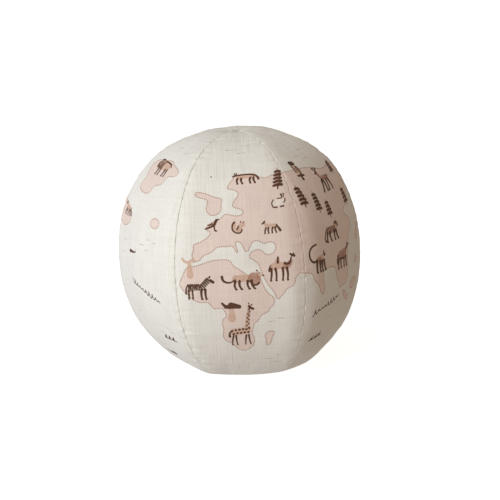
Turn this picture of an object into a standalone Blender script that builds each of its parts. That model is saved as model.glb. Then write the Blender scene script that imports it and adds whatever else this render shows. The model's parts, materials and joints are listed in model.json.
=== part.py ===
"""Stuffed six-gore textile ball, 150 mm across its seams.

The cover is six equal gores joined by seams that run from pole to pole. Each gore's long
edges turn inward as seam allowances, each seam holds one line of sewing thread, the poles
are tacked, and a wad of loose fibre fills the cover. One seam was left open for the fibre
and is closed by a hand stitch. A blank care label stands out of another seam and bends
about the seam line.

Frame: metres, +Z up, origin at the centre of the flat base, gore_panel_1 faces -Y.
"""

from math import asin, cos, pi, radians, sin, sqrt, tau

import bmesh
import bpy
import numpy as np

# Driving dimensions, in metres and degrees
SEAM_RADIUS = 0.0750  # from the ball's axis to a seam, at the widest height
HALF_HEIGHT = 1.038 * SEAM_RADIUS  # of the ball before its base is pressed flat
WIDEST_HEIGHT = 0.95 * SEAM_RADIUS  # of the widest ring above the base
WIDTH_POWER = 2.26  # fullness of the meridian across the ball, 2 is an ellipse
HEIGHT_POWER = 2.11  # fullness of the meridian up the ball
FACETING = 0.15  # 0 is a round cross-section, 1 is a plain hexagon
BASE_BLEND = 0.0050  # height over which the side rolls into the flat base

GORES = 6
CLOTH = 0.0008
FOLD_RADIUS = 0.0022  # outside radius of the cloth where it turns into a seam
FOLD_SINK = 0.0003  # top of that fold below the seam line
SEAM_ALLOWANCE = 0.0080  # depth of the turned-in edge below the seam line
SEAM_GAP = 0.0003  # between the two turned-in edges of a seam
TIP_RADIUS = 0.0052  # the gores stop here, round the pole tack

THREAD_RADIUS = 0.00025
THREAD_DEPTH = 0.00085  # centre of the thread below the seam line
TACK_RADIUS = 0.0044
TACK_TOP = 0.0003  # below the cover at the pole
TACK_HEIGHT = 0.0016

FILL_CLEARANCE = 0.0004  # between the cloth and the fibre
FILL_SEAM_FLOOR = 0.00135  # half width of the bottom of the valley left for a seam
FILL_SEAM_MOUTH = 0.0030  # half width of that valley at its top
FILL_TIP_RADIUS = 0.0085  # the fibre stays below the seam allowances inside this radius

LABEL_SEAM = 2  # the seam between gore_panel_3 and gore_panel_4
LABEL_HEIGHT = 0.0220  # of the label's middle above the base, at the seam
LABEL_WIDTH = 0.0120
LABEL_LENGTH = 0.0160
LABEL_THICKNESS = 0.0008
LABEL_LEAN = 55.0  # from square to the seam, towards gore_panel_4

CLOSING_SEAM = 3  # the seam between gore_panel_4 and gore_panel_5
CLOSING_FROM = 0.0440  # heights between which that seam is closed by hand
CLOSING_TO = 0.1040
STITCH_PITCH = 0.0030
STITCH_SWAY = 0.0001

# Fineness of the solids
ROWS = 22  # stations along a gore, from pole to pole
FACE_STEPS = 4  # from a gore's middle to its fold
FOLD_STEPS = 3
FIBRE_STEPS = 2  # from a gore's middle to the valley at its seam
ROUND_STEPS = 12

# Name, colour, roughness, metallic
COTTON = ("printed_cotton", (0.70, 0.66, 0.59), 0.92, 0.0)
THREAD = ("sewing_thread", (0.62, 0.57, 0.49), 0.75, 0.0)
FIBRE = ("polyester_fibre", (0.86, 0.86, 0.84), 0.97, 0.0)
SATIN = ("satin_ribbon", (0.80, 0.78, 0.74), 0.45, 0.0)


def clear_scene():
    for item in list(bpy.data.objects):
        bpy.data.objects.remove(item, do_unlink=True)


def material(finish):
    """A Principled material, made once for all the pieces of one finish."""
    name, colour, roughness, metallic = finish
    made = bpy.data.materials.get(name)
    if made:
        return made
    made = bpy.data.materials.new(name)
    made.use_nodes = True
    shader = made.node_tree.nodes["Principled BSDF"]
    shader.inputs["Base Color"].default_value = (*colour, 1.0)
    shader.inputs["Roughness"].default_value = roughness
    shader.inputs["Metallic"].default_value = metallic
    return made


def add_object(name, data, finish):
    data.materials.append(material(finish))
    item = bpy.data.objects.new(name, data)
    bpy.context.collection.objects.link(item)
    return item


def add_rings(name, rings, finish):
    """A closed body through equal closed loops of points. A loop of one point is a pole."""
    body = bmesh.new()
    loops = [[body.verts.new(point) for point in ring] for ring in rings]
    for low, high in zip(loops, loops[1:]):
        size = max(len(low), len(high))
        for k in range(size):
            after = (k + 1) % size
            if len(low) == 1:
                body.faces.new((low[0], high[after], high[k]))
            elif len(high) == 1:
                body.faces.new((low[k], low[after], high[0]))
            else:
                body.faces.new((low[k], low[after], high[after], high[k]))
    for loop in (loops[0], loops[-1]):
        if len(loop) > 1:
            body.faces.new(loop)
    bmesh.ops.recalc_face_normals(body, faces=body.faces)
    bmesh.ops.triangulate(body, faces=body.faces)
    mesh = bpy.data.meshes.new(name)
    body.to_mesh(mesh)
    body.free()
    mesh.shade_smooth()
    mesh.set_sharp_from_angle(angle=radians(40))
    return add_object(name, mesh, finish)


def soft_max(a, b, width):
    """The larger of a and b, rounded off where they are within width of each other."""
    near = max(width - abs(a - b), 0.0) / width
    return max(a, b) + near * near * width / 4


def meridian(angle):
    """A seam's radius and height, from -90 degrees at the base pole to 90 at the top pole.

    The free ball is a superellipse turned about Z; below the base it is pressed flat.
    """
    up = sin(angle)
    radius = SEAM_RADIUS * (1.0 - abs(up) ** HEIGHT_POWER) ** (1.0 / WIDTH_POWER)
    return radius, soft_max(WIDEST_HEIGHT + HALF_HEIGHT * up, 0.0, BASE_BLEND)


def meridian_frame(angle):
    """A seam's radius and height, and its outward normal as (out, up)."""
    step = 1e-3
    r0, z0 = meridian(angle - step)
    r1, z1 = meridian(angle + step)
    length = sqrt((r1 - r0) ** 2 + (z1 - z0) ** 2)
    return (*meridian(angle), (z1 - z0) / length, (r0 - r1) / length)


def fine_meridian():
    """Close meridian angles with the radius, height and distance along the seam at each."""
    angles = np.linspace(-pi / 2, pi / 2, 4001)
    radii, heights = np.array([meridian(angle) for angle in angles]).T
    steps = np.hypot(np.diff(radii), np.diff(heights))
    return angles, radii, heights, np.concatenate(([0.0], np.cumsum(steps)))


def stations():
    """Meridian angles evenly spaced along a seam, between the two tips of the gores."""
    angles, radii, _, along = fine_meridian()
    covered = np.nonzero(radii >= TIP_RADIUS)[0]
    first, last = along[covered[0]], along[covered[-1]]
    return [float(angle) for angle in np.interp(np.linspace(first, last, ROWS), along, angles)]


def angle_at_height(height):
    """The meridian angle of a point on the side of the ball."""
    angles, radii, heights, _ = fine_meridian()
    side = radii > SEAM_RADIUS / 3
    return float(np.interp(height, heights[side], angles[side]))


def seam_turn(seam):
    """Turn about Z of a seam from -Y; seam 0 lies between gore_panel_1 and gore_panel_2."""
    return tau * (seam + 0.5) / GORES


def cover_point(turn, off_seam, angle, depth):
    """A point below the cover, off_seam radians from the nearest seam."""
    radius, height, normal_out, normal_up = meridian_frame(angle)
    half = pi / GORES
    facet = (1.0 - FACETING) + FACETING * cos(half) / cos(half - abs(off_seam))
    out = radius * facet - depth * normal_out
    return out * sin(turn), -out * cos(turn), height - depth * normal_up


def seam_point(turn, side, angle, depth, aside):
    """A point below a seam line and aside from the seam's plane, towards side +1 or -1."""
    radius, height, normal_out, normal_up = meridian_frame(angle)
    out = radius - depth * normal_out
    x = out * sin(turn) + side * aside * cos(turn)
    y = -out * cos(turn) + side * aside * sin(turn)
    return x, y, height - depth * normal_up


def half_gore(gore, side, angle, inset):
    """One side of a gore at a station, from its middle to the end of its turned-in edge.

    inset is 0 on the outside of the cloth and the cloth's thickness on its inside.
    """
    half = pi / GORES
    middle = tau * gore / GORES
    seam = middle + side * half
    fold_aside = SEAM_GAP / 2 + FOLD_RADIUS
    reach = half - asin(fold_aside / meridian(angle)[0])
    points = []
    for k in range(FACE_STEPS):
        turn = reach * k / FACE_STEPS
        points.append(cover_point(middle + side * turn, half - turn, angle, inset))
    for k in range(FOLD_STEPS + 1):
        turn = pi / 2 * k / FOLD_STEPS
        aside = fold_aside - (FOLD_RADIUS - inset) * sin(turn)
        depth = FOLD_SINK + FOLD_RADIUS - (FOLD_RADIUS - inset) * cos(turn)
        points.append(seam_point(seam, -side, angle, depth, aside))
    points.append(seam_point(seam, -side, angle, SEAM_ALLOWANCE, SEAM_GAP / 2 + inset))
    return points


def gore_loop(gore, angle):
    """The loop round a gore's cloth at a station: over the outside and back inside."""
    outer = half_gore(gore, -1, angle, 0.0)[:0:-1] + half_gore(gore, 1, angle, 0.0)
    inner = half_gore(gore, -1, angle, CLOTH)[:0:-1] + half_gore(gore, 1, angle, CLOTH)
    return outer + inner[::-1]


def add_gores(angles):
    for gore in range(GORES):
        rings = [gore_loop(gore, angle) for angle in angles]
        add_rings(f"gore_panel_{gore + 1}", rings, COTTON)


def add_thread(name, route, radius=THREAD_RADIUS):
    """A thread along a route: a curve with a round bevel and closed ends."""
    curve = bpy.data.curves.new(name, "CURVE")
    curve.dimensions = "3D"
    curve.bevel_depth = radius
    curve.bevel_resolution = 1
    curve.use_fill_caps = True
    spline = curve.splines.new("POLY")
    spline.points.add(len(route) - 1)
    for point, place in zip(spline.points, route):
        point.co = (*place, 1.0)
    return add_object(name, curve, THREAD)


def seam_route(seam, angles):
    return [seam_point(seam_turn(seam), 1, angle, THREAD_DEPTH, 0.0) for angle in angles]


def add_seam_threads(angles):
    """One line of stitching in each seam, in two stretches on the seam closed by hand."""
    for seam in range(GORES):
        name = f"seam_thread_{seam + 1}"
        if seam != CLOSING_SEAM:
            add_thread(name, seam_route(seam, angles))
            continue
        heights = [meridian(angle)[1] for angle in angles]
        lower = [a for a, height in zip(angles, heights) if height < CLOSING_FROM]
        upper = [a for a, height in zip(angles, heights) if height > CLOSING_TO]
        lower.append(angle_at_height(CLOSING_FROM))
        upper.insert(0, angle_at_height(CLOSING_TO))
        add_thread(f"{name}_lower", seam_route(seam, lower))
        add_thread(f"{name}_upper", seam_route(seam, upper))


def add_closing_thread():
    """The hand stitch, which sways from one folded edge to the other."""
    clear = 4 * THREAD_RADIUS
    count = round((CLOSING_TO - CLOSING_FROM) / STITCH_PITCH)
    heights = np.linspace(CLOSING_FROM + clear, CLOSING_TO - clear, count)
    turn = seam_turn(CLOSING_SEAM)
    route = []
    for k, height in enumerate(heights):
        angle = angle_at_height(height)
        route.append(seam_point(turn, 1 if k % 2 else -1, angle, THREAD_DEPTH, STITCH_SWAY))
    add_thread("closing_thread", route)


def add_tack(name, surface_height, inward):
    """A low round knot of thread at a pole, just under the cover; inward is +1 or -1 in Z."""
    half = TACK_HEIGHT / 2
    middle = surface_height + inward * (TACK_TOP + half)
    rings = [[(0.0, 0.0, middle - half)]]
    for share in (-0.7, 0.0, 0.7):
        reach = TACK_RADIUS * sqrt(1.0 - share * share)
        turns = [tau * k / ROUND_STEPS for k in range(ROUND_STEPS)]
        rings.append([(reach * cos(t), reach * sin(t), middle + half * share) for t in turns])
    rings.append([(0.0, 0.0, middle + half)])
    add_rings(name, rings, THREAD)


def fibre_loop(angle):
    """The loop round the fibre at a station, with a valley at each seam for its allowances."""
    half = pi / GORES
    radius = meridian(angle)[0]
    under_cloth = CLOTH + FILL_CLEARANCE
    under_seam = SEAM_ALLOWANCE + FILL_CLEARANCE
    if radius < FILL_TIP_RADIUS:
        under_cloth = under_seam
    floor = min(asin(FILL_SEAM_FLOOR / radius), 0.5 * half)
    mouth = asin(min(FILL_SEAM_MOUTH / radius, sin(0.8 * half)))
    across = [(0.0, under_seam), (floor, under_seam), (mouth, under_cloth)]
    for k in range(1, FIBRE_STEPS + 1):
        across.append((mouth + (half - mouth) * k / FIBRE_STEPS, under_cloth))
    across += [(2 * half - off, depth) for off, depth in across[-2:0:-1]]
    loop = []
    for seam in range(GORES):
        for off, depth in across:
            nearest = min(off, 2 * half - off)
            loop.append(cover_point(seam_turn(seam) + off, nearest, angle, depth))
    return loop


def add_filling(angles):
    deep = SEAM_ALLOWANCE + FILL_CLEARANCE
    top = meridian(pi / 2)[1] - deep
    rings = [[(0.0, 0.0, deep)]] + [fibre_loop(angle) for angle in angles] + [[(0.0, 0.0, top)]]
    add_rings("fibre_filling", rings, FIBRE)


def add_label():
    """A folded ribbon whose root edge lies on the seam line and is round about it."""
    angle = angle_at_height(LABEL_HEIGHT)
    radius, height, normal_out, normal_up = meridian_frame(angle)
    turn = seam_turn(LABEL_SEAM)
    outward = np.array([normal_out * sin(turn), -normal_out * cos(turn), normal_up])
    along = np.array([-normal_up * sin(turn), normal_up * cos(turn), normal_out])
    aside = np.array([cos(turn), sin(turn), 0.0])
    root = np.array([radius * sin(turn), -radius * cos(turn), height])
    lean = radians(LABEL_LEAN)
    reach = cos(lean) * outward + sin(lean) * aside
    across = cos(lean) * aside - sin(lean) * outward
    half = LABEL_THICKNESS / 2
    edge = []
    for centre, start in ((0.0, pi / 2), (LABEL_LENGTH - half, -pi / 2)):
        for k in range(ROUND_STEPS // 2 + 1):
            bend = start + pi * k / (ROUND_STEPS // 2)
            edge.append((centre + half * cos(bend)) * reach + half * sin(bend) * across)
    rings = []
    for shift in (-LABEL_WIDTH / 2, LABEL_WIDTH / 2):
        rings.append([tuple(root + shift * along + point) for point in edge])
    add_rings("care_label", rings, SATIN)


def main():
    clear_scene()
    angles = stations()
    add_gores(angles)
    add_seam_threads(angles)
    add_closing_thread()
    add_tack("base_pole_tack", 0.0, 1)
    add_tack("top_pole_tack", meridian(pi / 2)[1], -1)
    add_filling(angles)
    add_label()


main()
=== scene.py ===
"""Stuffed cotton ball sewn from six gores and printed with a map, animals and trees.

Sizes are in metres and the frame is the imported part's: +Z up, the front gore faces -Y.
A place on the cover is (turn, rise). turn is degrees round from the front, positive to the
right as seen from the front. rise is the way up the cover from its widest ring, in degrees
of a circle of the seam radius. A place on one gore's flat cloth is (x, y): x across from
the gore's middle line and y up from the widest ring, in millimetres for the print.
"""

import json
from functools import lru_cache, partial
from math import cos, pi, radians, sin, tau

import bpy
import numpy as np
from bpy.props import FloatProperty, FloatVectorProperty, PointerProperty
from mathutils import Matrix, Vector


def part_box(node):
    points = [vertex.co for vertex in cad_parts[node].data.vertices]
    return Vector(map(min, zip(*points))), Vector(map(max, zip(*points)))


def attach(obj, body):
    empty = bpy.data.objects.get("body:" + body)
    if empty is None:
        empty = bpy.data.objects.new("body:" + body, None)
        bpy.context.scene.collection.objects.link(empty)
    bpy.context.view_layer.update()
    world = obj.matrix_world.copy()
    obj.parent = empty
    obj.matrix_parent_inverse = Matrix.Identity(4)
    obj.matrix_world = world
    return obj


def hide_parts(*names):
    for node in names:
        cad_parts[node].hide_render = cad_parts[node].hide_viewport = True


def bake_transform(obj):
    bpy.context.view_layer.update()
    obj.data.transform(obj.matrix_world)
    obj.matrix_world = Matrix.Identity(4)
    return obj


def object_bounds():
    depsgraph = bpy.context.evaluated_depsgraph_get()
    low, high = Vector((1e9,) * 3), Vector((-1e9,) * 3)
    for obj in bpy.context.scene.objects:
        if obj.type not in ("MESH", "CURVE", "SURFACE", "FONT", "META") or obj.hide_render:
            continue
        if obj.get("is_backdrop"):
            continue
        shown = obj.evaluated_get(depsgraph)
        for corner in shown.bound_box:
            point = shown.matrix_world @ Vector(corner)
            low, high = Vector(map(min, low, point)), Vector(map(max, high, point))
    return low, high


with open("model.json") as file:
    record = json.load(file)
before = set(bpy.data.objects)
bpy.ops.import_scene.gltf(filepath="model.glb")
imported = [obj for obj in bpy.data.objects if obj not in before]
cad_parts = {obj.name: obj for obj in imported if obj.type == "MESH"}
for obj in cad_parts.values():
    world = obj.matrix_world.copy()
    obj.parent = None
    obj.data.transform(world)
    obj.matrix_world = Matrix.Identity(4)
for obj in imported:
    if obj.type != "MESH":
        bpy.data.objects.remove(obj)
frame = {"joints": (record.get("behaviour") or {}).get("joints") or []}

bl_info = {
    "name": "Printed gore ball",
    "version": (1, 0, 0),
    "blender": (4, 5, 0),
    "location": "View3D > Sidebar > Gore ball",
    "description": "Makes the cloth, print, stitching, filling and label of a stuffed ball",
    "category": "Add Mesh",
}

# ---------------------------------------------------------------- sizes from the frame

BOX_LOW, BOX_HIGH = (np.array(corner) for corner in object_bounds())
CAD_BOX = [[float(v) for v in BOX_LOW], [float(v) for v in BOX_HIGH]]
FOLD_SINK = 0.0003  # how far below the seam line the plain cloth's folds lie
SEAM_RADIUS = float(BOX_HIGH[0] - BOX_LOW[0]) / 2 + FOLD_SINK
TOP = float(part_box("gore_panel_1")[1][2])
GORES = 6
GORE_TURN = tau / GORES
HALF_GORE = GORE_TURN / 2
GORE_DEGREES = 360 // GORES

# Form of the ball: a superellipse turned about Z and pressed flat at its base
WIDTH_POWER = 2.26
HEIGHT_POWER = 2.11
WIDEST_SHARE = 0.95
HALF_HEIGHT_SHARE = 1.038
WIDEST_HEIGHT = TOP * WIDEST_SHARE / (WIDEST_SHARE + HALF_HEIGHT_SHARE)
HALF_HEIGHT = TOP - WIDEST_HEIGHT
FACETING = 0.15
BASE_BLEND = 0.0050
SEAM_STEPS = 6001

# Cloth
CLOTH = 0.0006
SEAM_ALLOWANCE = 0.0075
SEAM_GAP = 0.0002
TIP_RADIUS = 0.0007
SHRINK_RADIUS = 0.0070  # inside this radius the folds and allowances taper to the pole
ROWS = 520
FACE_COLUMNS = 155
FOLD_STEPS = 5
HEM_STEPS = 4
INNER_COLUMNS = 9
CUT_APART = 0.2  # metres between two gores on the cloth that they are cut from

MM = 1000.0


def meridian(angles):
    """Radius |1 - |sin a|^p|^(1/q) and height h + k sin a, rounded off into the flat base."""
    up = np.sin(angles)
    radii = SEAM_RADIUS * np.maximum(1 - np.abs(up) ** HEIGHT_POWER, 0) ** (1 / WIDTH_POWER)
    heights = WIDEST_HEIGHT + HALF_HEIGHT * up
    near = np.maximum(BASE_BLEND - np.abs(heights), 0) / BASE_BLEND
    return radii, np.maximum(heights, 0) + near**2 * BASE_BLEND / 4


def way_along(path):
    """Distance along a line of points from its first."""
    steps = np.linalg.norm(np.diff(path, axis=0), axis=1)
    return np.concatenate(([0.0], np.cumsum(steps)))


def seam_table():
    """Distance up a seam from the widest ring, with radius, height and outward normal."""
    angles = np.linspace(-pi / 2, pi / 2, SEAM_STEPS)
    radii, heights = meridian(angles)
    along = way_along(np.stack([radii, heights], 1))
    along -= np.interp(0.0, angles, along)
    out, up = np.gradient(heights), -np.gradient(radii)
    length = np.hypot(out, up)
    return along, radii, heights, out / length, up / length


SEAM = seam_table()


def seam_line(along):
    """Radius, height and normal (out, up) at a distance up the seam."""
    return [np.interp(along, SEAM[0], column) for column in SEAM[1:]]


def seam_span(radius):
    """Where the seam comes within a radius of the base pole and of the top pole."""
    along, radii = SEAM[0], SEAM[1]
    ends = []
    for part in (along < 0, along > 0):
        order = np.argsort(radii[part])
        ends.append(float(np.interp(radius, radii[part][order], along[part][order])))
    return ends


def along_at_height(height):
    """Distance up the seam of a height on the side of the ball."""
    side = SEAM[1] > SEAM_RADIUS / 3
    return float(np.interp(height, SEAM[2][side], SEAM[0][side]))


# Where the care label leaves its seam
JOINT = frame["joints"][0]
LABEL_ROOT = np.array(JOINT["pos_m"])
LABEL_TURN = GORE_TURN * 2.5
LABEL_ALONG = along_at_height(LABEL_ROOT[2])
LABEL_ROOT_RADIUS = float(np.hypot(*LABEL_ROOT[:2]))
LABEL_CALM = 0.0130  # within this reach the cover keeps to the plain form


def unit(turn):
    """Horizontal unit vectors out from the axis at turns in radians from -Y."""
    turn = np.asarray(turn, dtype=float)
    return np.stack([np.sin(turn), -np.cos(turn), np.zeros_like(turn)], -1)


def sideways(turn):
    """Horizontal unit vectors along the way that turn grows."""
    turn = np.asarray(turn, dtype=float)
    return np.stack([np.cos(turn), np.sin(turn), np.zeros_like(turn)], -1)


def smooth(low, high, value):
    """A step from 0 at low to 1 at high with flat ends, 3t^2 - 2t^3."""
    t = np.clip((value - low) / (high - low), 0, 1)
    return t * t * (3 - 2 * t)


def from_middle(turn):
    """The turn from the middle line of the gore that a place is on."""
    return (turn + HALF_GORE) % GORE_TURN - HALF_GORE


def ring_share(turn, faceting):
    """Share of the seam radius: a circle blended towards a hexagon with corners at the seams.

    (1 - F) + F cos 30 / cos t, with t the turn from the gore's middle.
    """
    return (1 - faceting) + faceting * cos(HALF_GORE) / np.cos(from_middle(turn))


def calm(turn, along):
    """A share that sinks to 0 at the label's root: 1 - exp(-(d/r)^2) of the distance to it."""
    across = ((turn - LABEL_TURN + pi) % tau - pi) * LABEL_ROOT_RADIUS
    return 1 - np.exp(-(across**2 + (along - LABEL_ALONG) ** 2) / LABEL_CALM**2)


def fullness(turn, along):
    """How much wider than the plain form the stuffing pushes each place, as a share of radius.

    All round it grows from the widest ring towards both poles, and the ball is packed a
    little to its left at the middle and to its right above and below: f + g sin(turn). Low
    on the right it bulges further, by h times the square of the positive part of sin(turn).
    """
    slope = np.abs(along) / SEAM_RADIUS
    even = -0.007 + 0.026 * smooth(0.6, 1.3, slope)
    aside = -0.012 + np.where(along > 0, 0.052, 0.086) * smooth(0.4, 1.25, slope)
    low_bulge = np.where(along < 0, 0.095, 0.020) * smooth(0.75, 1.3, slope)
    total = even + aside * np.sin(turn) + low_bulge * np.maximum(np.sin(turn), 0) ** 2
    return total * calm(turn, along)


def cover_point(turn, along, lift=0.0):
    """Points on the cover moved out along its normal by lift, never below the base plane."""
    radius, height, out, up = seam_line(along)
    reach = radius * ring_share(turn, FACETING) * (1 + fullness(turn, along)) + lift * out
    points = unit(turn) * reach[..., None]
    points[..., 2] = np.maximum(height + lift * up, 0.0)
    return points


# ---------------------------------------------------------------- inflation of the cover

CAGE_TURNS = 120
CAGE_ROWS = 66
CAGE_TIP = 0.004
CAGE_SWELL = 1.030
CAGE_JITTER = 0.00012
CAGE_FRAMES = 20
CAGE_PRESSURE = 4.0
CAGE_CAP = 0.0016
CAGE_SHARE = 0.65  # how much of the inflated shape the cover takes up


def flat_cage():
    """Rings of the cover with cloth drawn flat between the seams, as (row, turn) points."""
    along = np.linspace(*seam_span(CAGE_TIP), CAGE_ROWS)
    turn = tau * np.arange(CAGE_TURNS) / CAGE_TURNS
    radius, height, _, _ = seam_line(along)
    points = unit(turn)[None] * (radius[:, None] * ring_share(turn, 1.0)[None])[..., None]
    points[..., 2] = height[:, None]
    return along, turn, points


def cage_mesh(points):
    """The cage's rings as a closed mesh, with a fan of triangles over each pole."""
    ends = points[[0, -1]].mean(1)
    columns = np.arange(CAGE_TURNS)
    after = (columns + 1) % CAGE_TURNS
    low = np.full(CAGE_TURNS, CAGE_ROWS * CAGE_TURNS)
    last = (CAGE_ROWS - 1) * CAGE_TURNS
    fans = [np.stack([low, after, columns], 1), np.stack([low + 1, last + columns, last + after], 1)]
    faces = loft_faces(CAGE_ROWS, CAGE_TURNS).tolist() + np.concatenate(fans).tolist()
    mesh = bpy.data.meshes.new("inflating")
    mesh.from_pydata(np.concatenate([points.reshape(-1, 3), ends]).tolist(), [], faces)
    return mesh


@lru_cache(maxsize=1)
def inflate_cover():
    """Blows up a ball of six flat gores as cloth and returns how far its skin ends in or out.

    The result is a grid over (row, turn), measured along the cover's normal, with its mean
    over each height taken off, so it holds what the pressed cloth does: fullness between
    the seams and the ripples that the long seams throw.
    """
    along, turn, flat = flat_cage()
    rng = np.random.default_rng(11)
    centre = np.array([0.0, 0.0, WIDEST_HEIGHT])
    start = centre + (flat - centre) * CAGE_SWELL + rng.normal(0, CAGE_JITTER, flat.shape)
    mesh = cage_mesh(start)
    cage = bpy.data.objects.new("inflating", mesh)
    scene = bpy.context.scene
    scene.collection.objects.link(cage)
    cloth = cage.modifiers.new("Cloth", "CLOTH")
    cloth.settings.use_pressure = True
    cloth.settings.uniform_pressure_force = CAGE_PRESSURE
    cloth.settings.effector_weights.gravity = 0.0
    cloth.settings.quality = 5
    for number in range(1, CAGE_FRAMES + 1):
        scene.frame_set(number)
    shape = cage.evaluated_get(bpy.context.evaluated_depsgraph_get()).data
    moved = np.empty(len(shape.vertices) * 3)
    shape.vertices.foreach_get("co", moved)
    bpy.data.objects.remove(cage)
    bpy.data.meshes.remove(mesh)
    scene.frame_set(1)
    moved = moved.reshape(-1, 3)[: flat[..., 0].size].reshape(flat.shape)
    _, _, out, up = seam_line(along)
    normal = unit(turn)[None] * out[:, None, None]
    normal[..., 2] = up[:, None]
    home = cover_point(turn[None], along[:, None])
    lift = ((moved - home) * normal).sum(-1)
    lift -= lift.mean(1, keepdims=True)
    return np.clip(lift * CAGE_SHARE, -CAGE_CAP, CAGE_CAP)


def inflation():
    """The inflation grid made by blowing up the cover."""
    return inflate_cover()


def spline_weights(t):
    """The four weights of a uniform cubic B-spline at t from 0 to 1 between two samples."""
    return ((1 - t) ** 3 / 6, (3 * t**3 - 6 * t**2 + 4) / 6,
            (-3 * t**3 + 3 * t**2 + 3 * t + 1) / 6, t**3 / 6)


def cage_lift(field, turn, along):
    """The inflation grid at any turn and distance, smoothed by a cubic B-spline."""
    low, high = seam_span(CAGE_TIP)
    row = np.clip((along - low) / (high - low), 0, 1) * (CAGE_ROWS - 1)
    column = (turn / tau * CAGE_TURNS) % CAGE_TURNS
    r0, c0 = np.floor(row).astype(int), np.floor(column).astype(int)
    total = np.zeros(np.broadcast(row, column).shape)
    for a, wr in enumerate(spline_weights(row - r0)):
        for b, wc in enumerate(spline_weights(column - c0)):
            rr = np.clip(r0 + a - 1, 0, CAGE_ROWS - 1)
            total += wr * wc * field[rr, (c0 + b - 1) % CAGE_TURNS]
    return total


# ---------------------------------------------------------------- relief of the cover

BASE_QUIET = 0.0070  # relief fades out below this height
PUCKER_LENGTHS = (0.0046, 0.0061, 0.0083, 0.0127)
PUCKER_REACH = 0.0050
PUCKER_FADE = (0.004, 0.025)  # radii between which the ripples fade out towards a pole
SEAM_REACH = 0.0038
SEAM_FADE = (0.0, 0.020)
LUMP_WAVES = 7
POLE_DIMPLE = 0.0020
POLE_REACH = 0.0085


def seam_ripple(seam, side, along):
    """Uneven ripples along one side of a seam: a sum of cosines with seeded phases."""
    rng = np.random.default_rng(100 + 10 * int(seam) + (side > 0))
    shared = np.random.default_rng(500 + int(seam))
    total = np.zeros_like(along)
    for length in PUCKER_LENGTHS:
        phase = tau * (0.7 * shared.random() + 0.3 * rng.random())
        drift = 1.3 * np.sin(along / 0.021 + tau * rng.random())
        total += np.cos(tau * along / length + phase + drift) * (0.5 + rng.random())
    return total / len(PUCKER_LENGTHS)


def stuffing_lumps(turn, along):
    """Broad soft unevenness of the filling: the mean of seven plane waves, seeded."""
    rng = np.random.default_rng(23)
    total = np.zeros(np.broadcast(turn, along).shape)
    for _ in range(LUMP_WAVES):
        count = rng.integers(3, 9)
        rise = rng.uniform(-110, 110)
        total += np.cos(count * turn + rise * along + tau * rng.random())
    return total / LUMP_WAVES


def cover_lift(gore, turn, along, field, look):
    """How far the cloth stands out or in at each point of a gore.

    The sum of the inflation, lumps of filling, the pull of each seam (a Gaussian of the
    distance to it), ripples that die away from the seam, and a dimple at each pole.
    """
    radius, height, _, _ = seam_line(along)
    lift = cage_lift(field, turn, along) + look.lump_height * stuffing_lumps(turn, along)
    lift *= calm(turn, along)
    middle = GORE_TURN * gore
    for side in (-1, 1):
        away = np.maximum(HALF_GORE - side * (turn - middle), 0) * radius
        seam = (gore + (side - 1) // 2) % GORES
        lift -= look.seam_pull * np.exp(-((away / SEAM_REACH) ** 2)) * smooth(*SEAM_FADE, radius)
        ripple = seam_ripple(seam, side, along) * np.exp(-away / PUCKER_REACH)
        lift += look.pucker_height * ripple * smooth(*PUCKER_FADE, radius)
    lift *= smooth(0, BASE_QUIET, height)
    return lift - POLE_DIMPLE * np.exp(-((radius / POLE_REACH) ** 2))


# ---------------------------------------------------------------- meshes

def put_mesh(name, points, quads, caps=(), uv=None, fields=None):
    """A smooth-shaded object from arrays of points and faces, with a UV map and attributes."""
    mesh = bpy.data.meshes.new(name)
    points = np.asarray(points, dtype=np.float32).reshape(-1, 3)
    corners = np.concatenate([quads.ravel(), *caps]).astype(np.int32)
    sizes = np.array([4] * len(quads) + [len(cap) for cap in caps])
    starts = np.concatenate(([0], np.cumsum(sizes)[:-1])).astype(np.int32)
    mesh.vertices.add(len(points))
    mesh.vertices.foreach_set("co", points.ravel())
    mesh.loops.add(len(corners))
    mesh.loops.foreach_set("vertex_index", corners)
    mesh.polygons.add(len(sizes))
    mesh.polygons.foreach_set("loop_start", starts)
    if uv is not None:
        layer = mesh.uv_layers.new(name="cloth")
        layer.uv.foreach_set("vector", uv.astype(np.float32)[corners].ravel())
    for key, values in (fields or {}).items():
        attribute = mesh.attributes.new(key, "FLOAT", "POINT")
        attribute.data.foreach_set("value", values.astype(np.float32).ravel())
    mesh.update(calc_edges=True)
    mesh.validate()
    mesh.shade_smooth()
    made = bpy.data.objects.new(name, mesh)
    bpy.context.scene.collection.objects.link(made)
    return made


def sew_in(piece, finish, slot, *nodes):
    """Gives a piece of the ball its finish, joins it to the ball and hides the plain nodes it stands for.
    """
    piece.data.materials.append(finish)
    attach(piece, "ball")
    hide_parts(*nodes)


def loft_faces(rows, columns, wrap_rows=False):
    """Quads over a grid whose columns close on themselves, and whose rows may."""
    first = rows if wrap_rows else rows - 1
    i, j = np.meshgrid(np.arange(first), np.arange(columns), indexing="ij")
    down, after = (i + 1) % rows, (j + 1) % columns
    return np.stack([i * columns + j, i * columns + after, down * columns + after,
                     down * columns + j], -1).reshape(-1, 4)


def inside_out(points, quads):
    """Whether the volume that the quads enclose, the sum of a . (b x c) over them, is negative."""
    corners = points.reshape(-1, 3)[quads]
    corners = corners - corners.mean((0, 1))
    a, b, c, d = (corners[:, n] for n in range(4))
    volume = (a * np.cross(b, c)).sum() + (a * np.cross(c, d)).sum()
    return volume < 0


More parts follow.
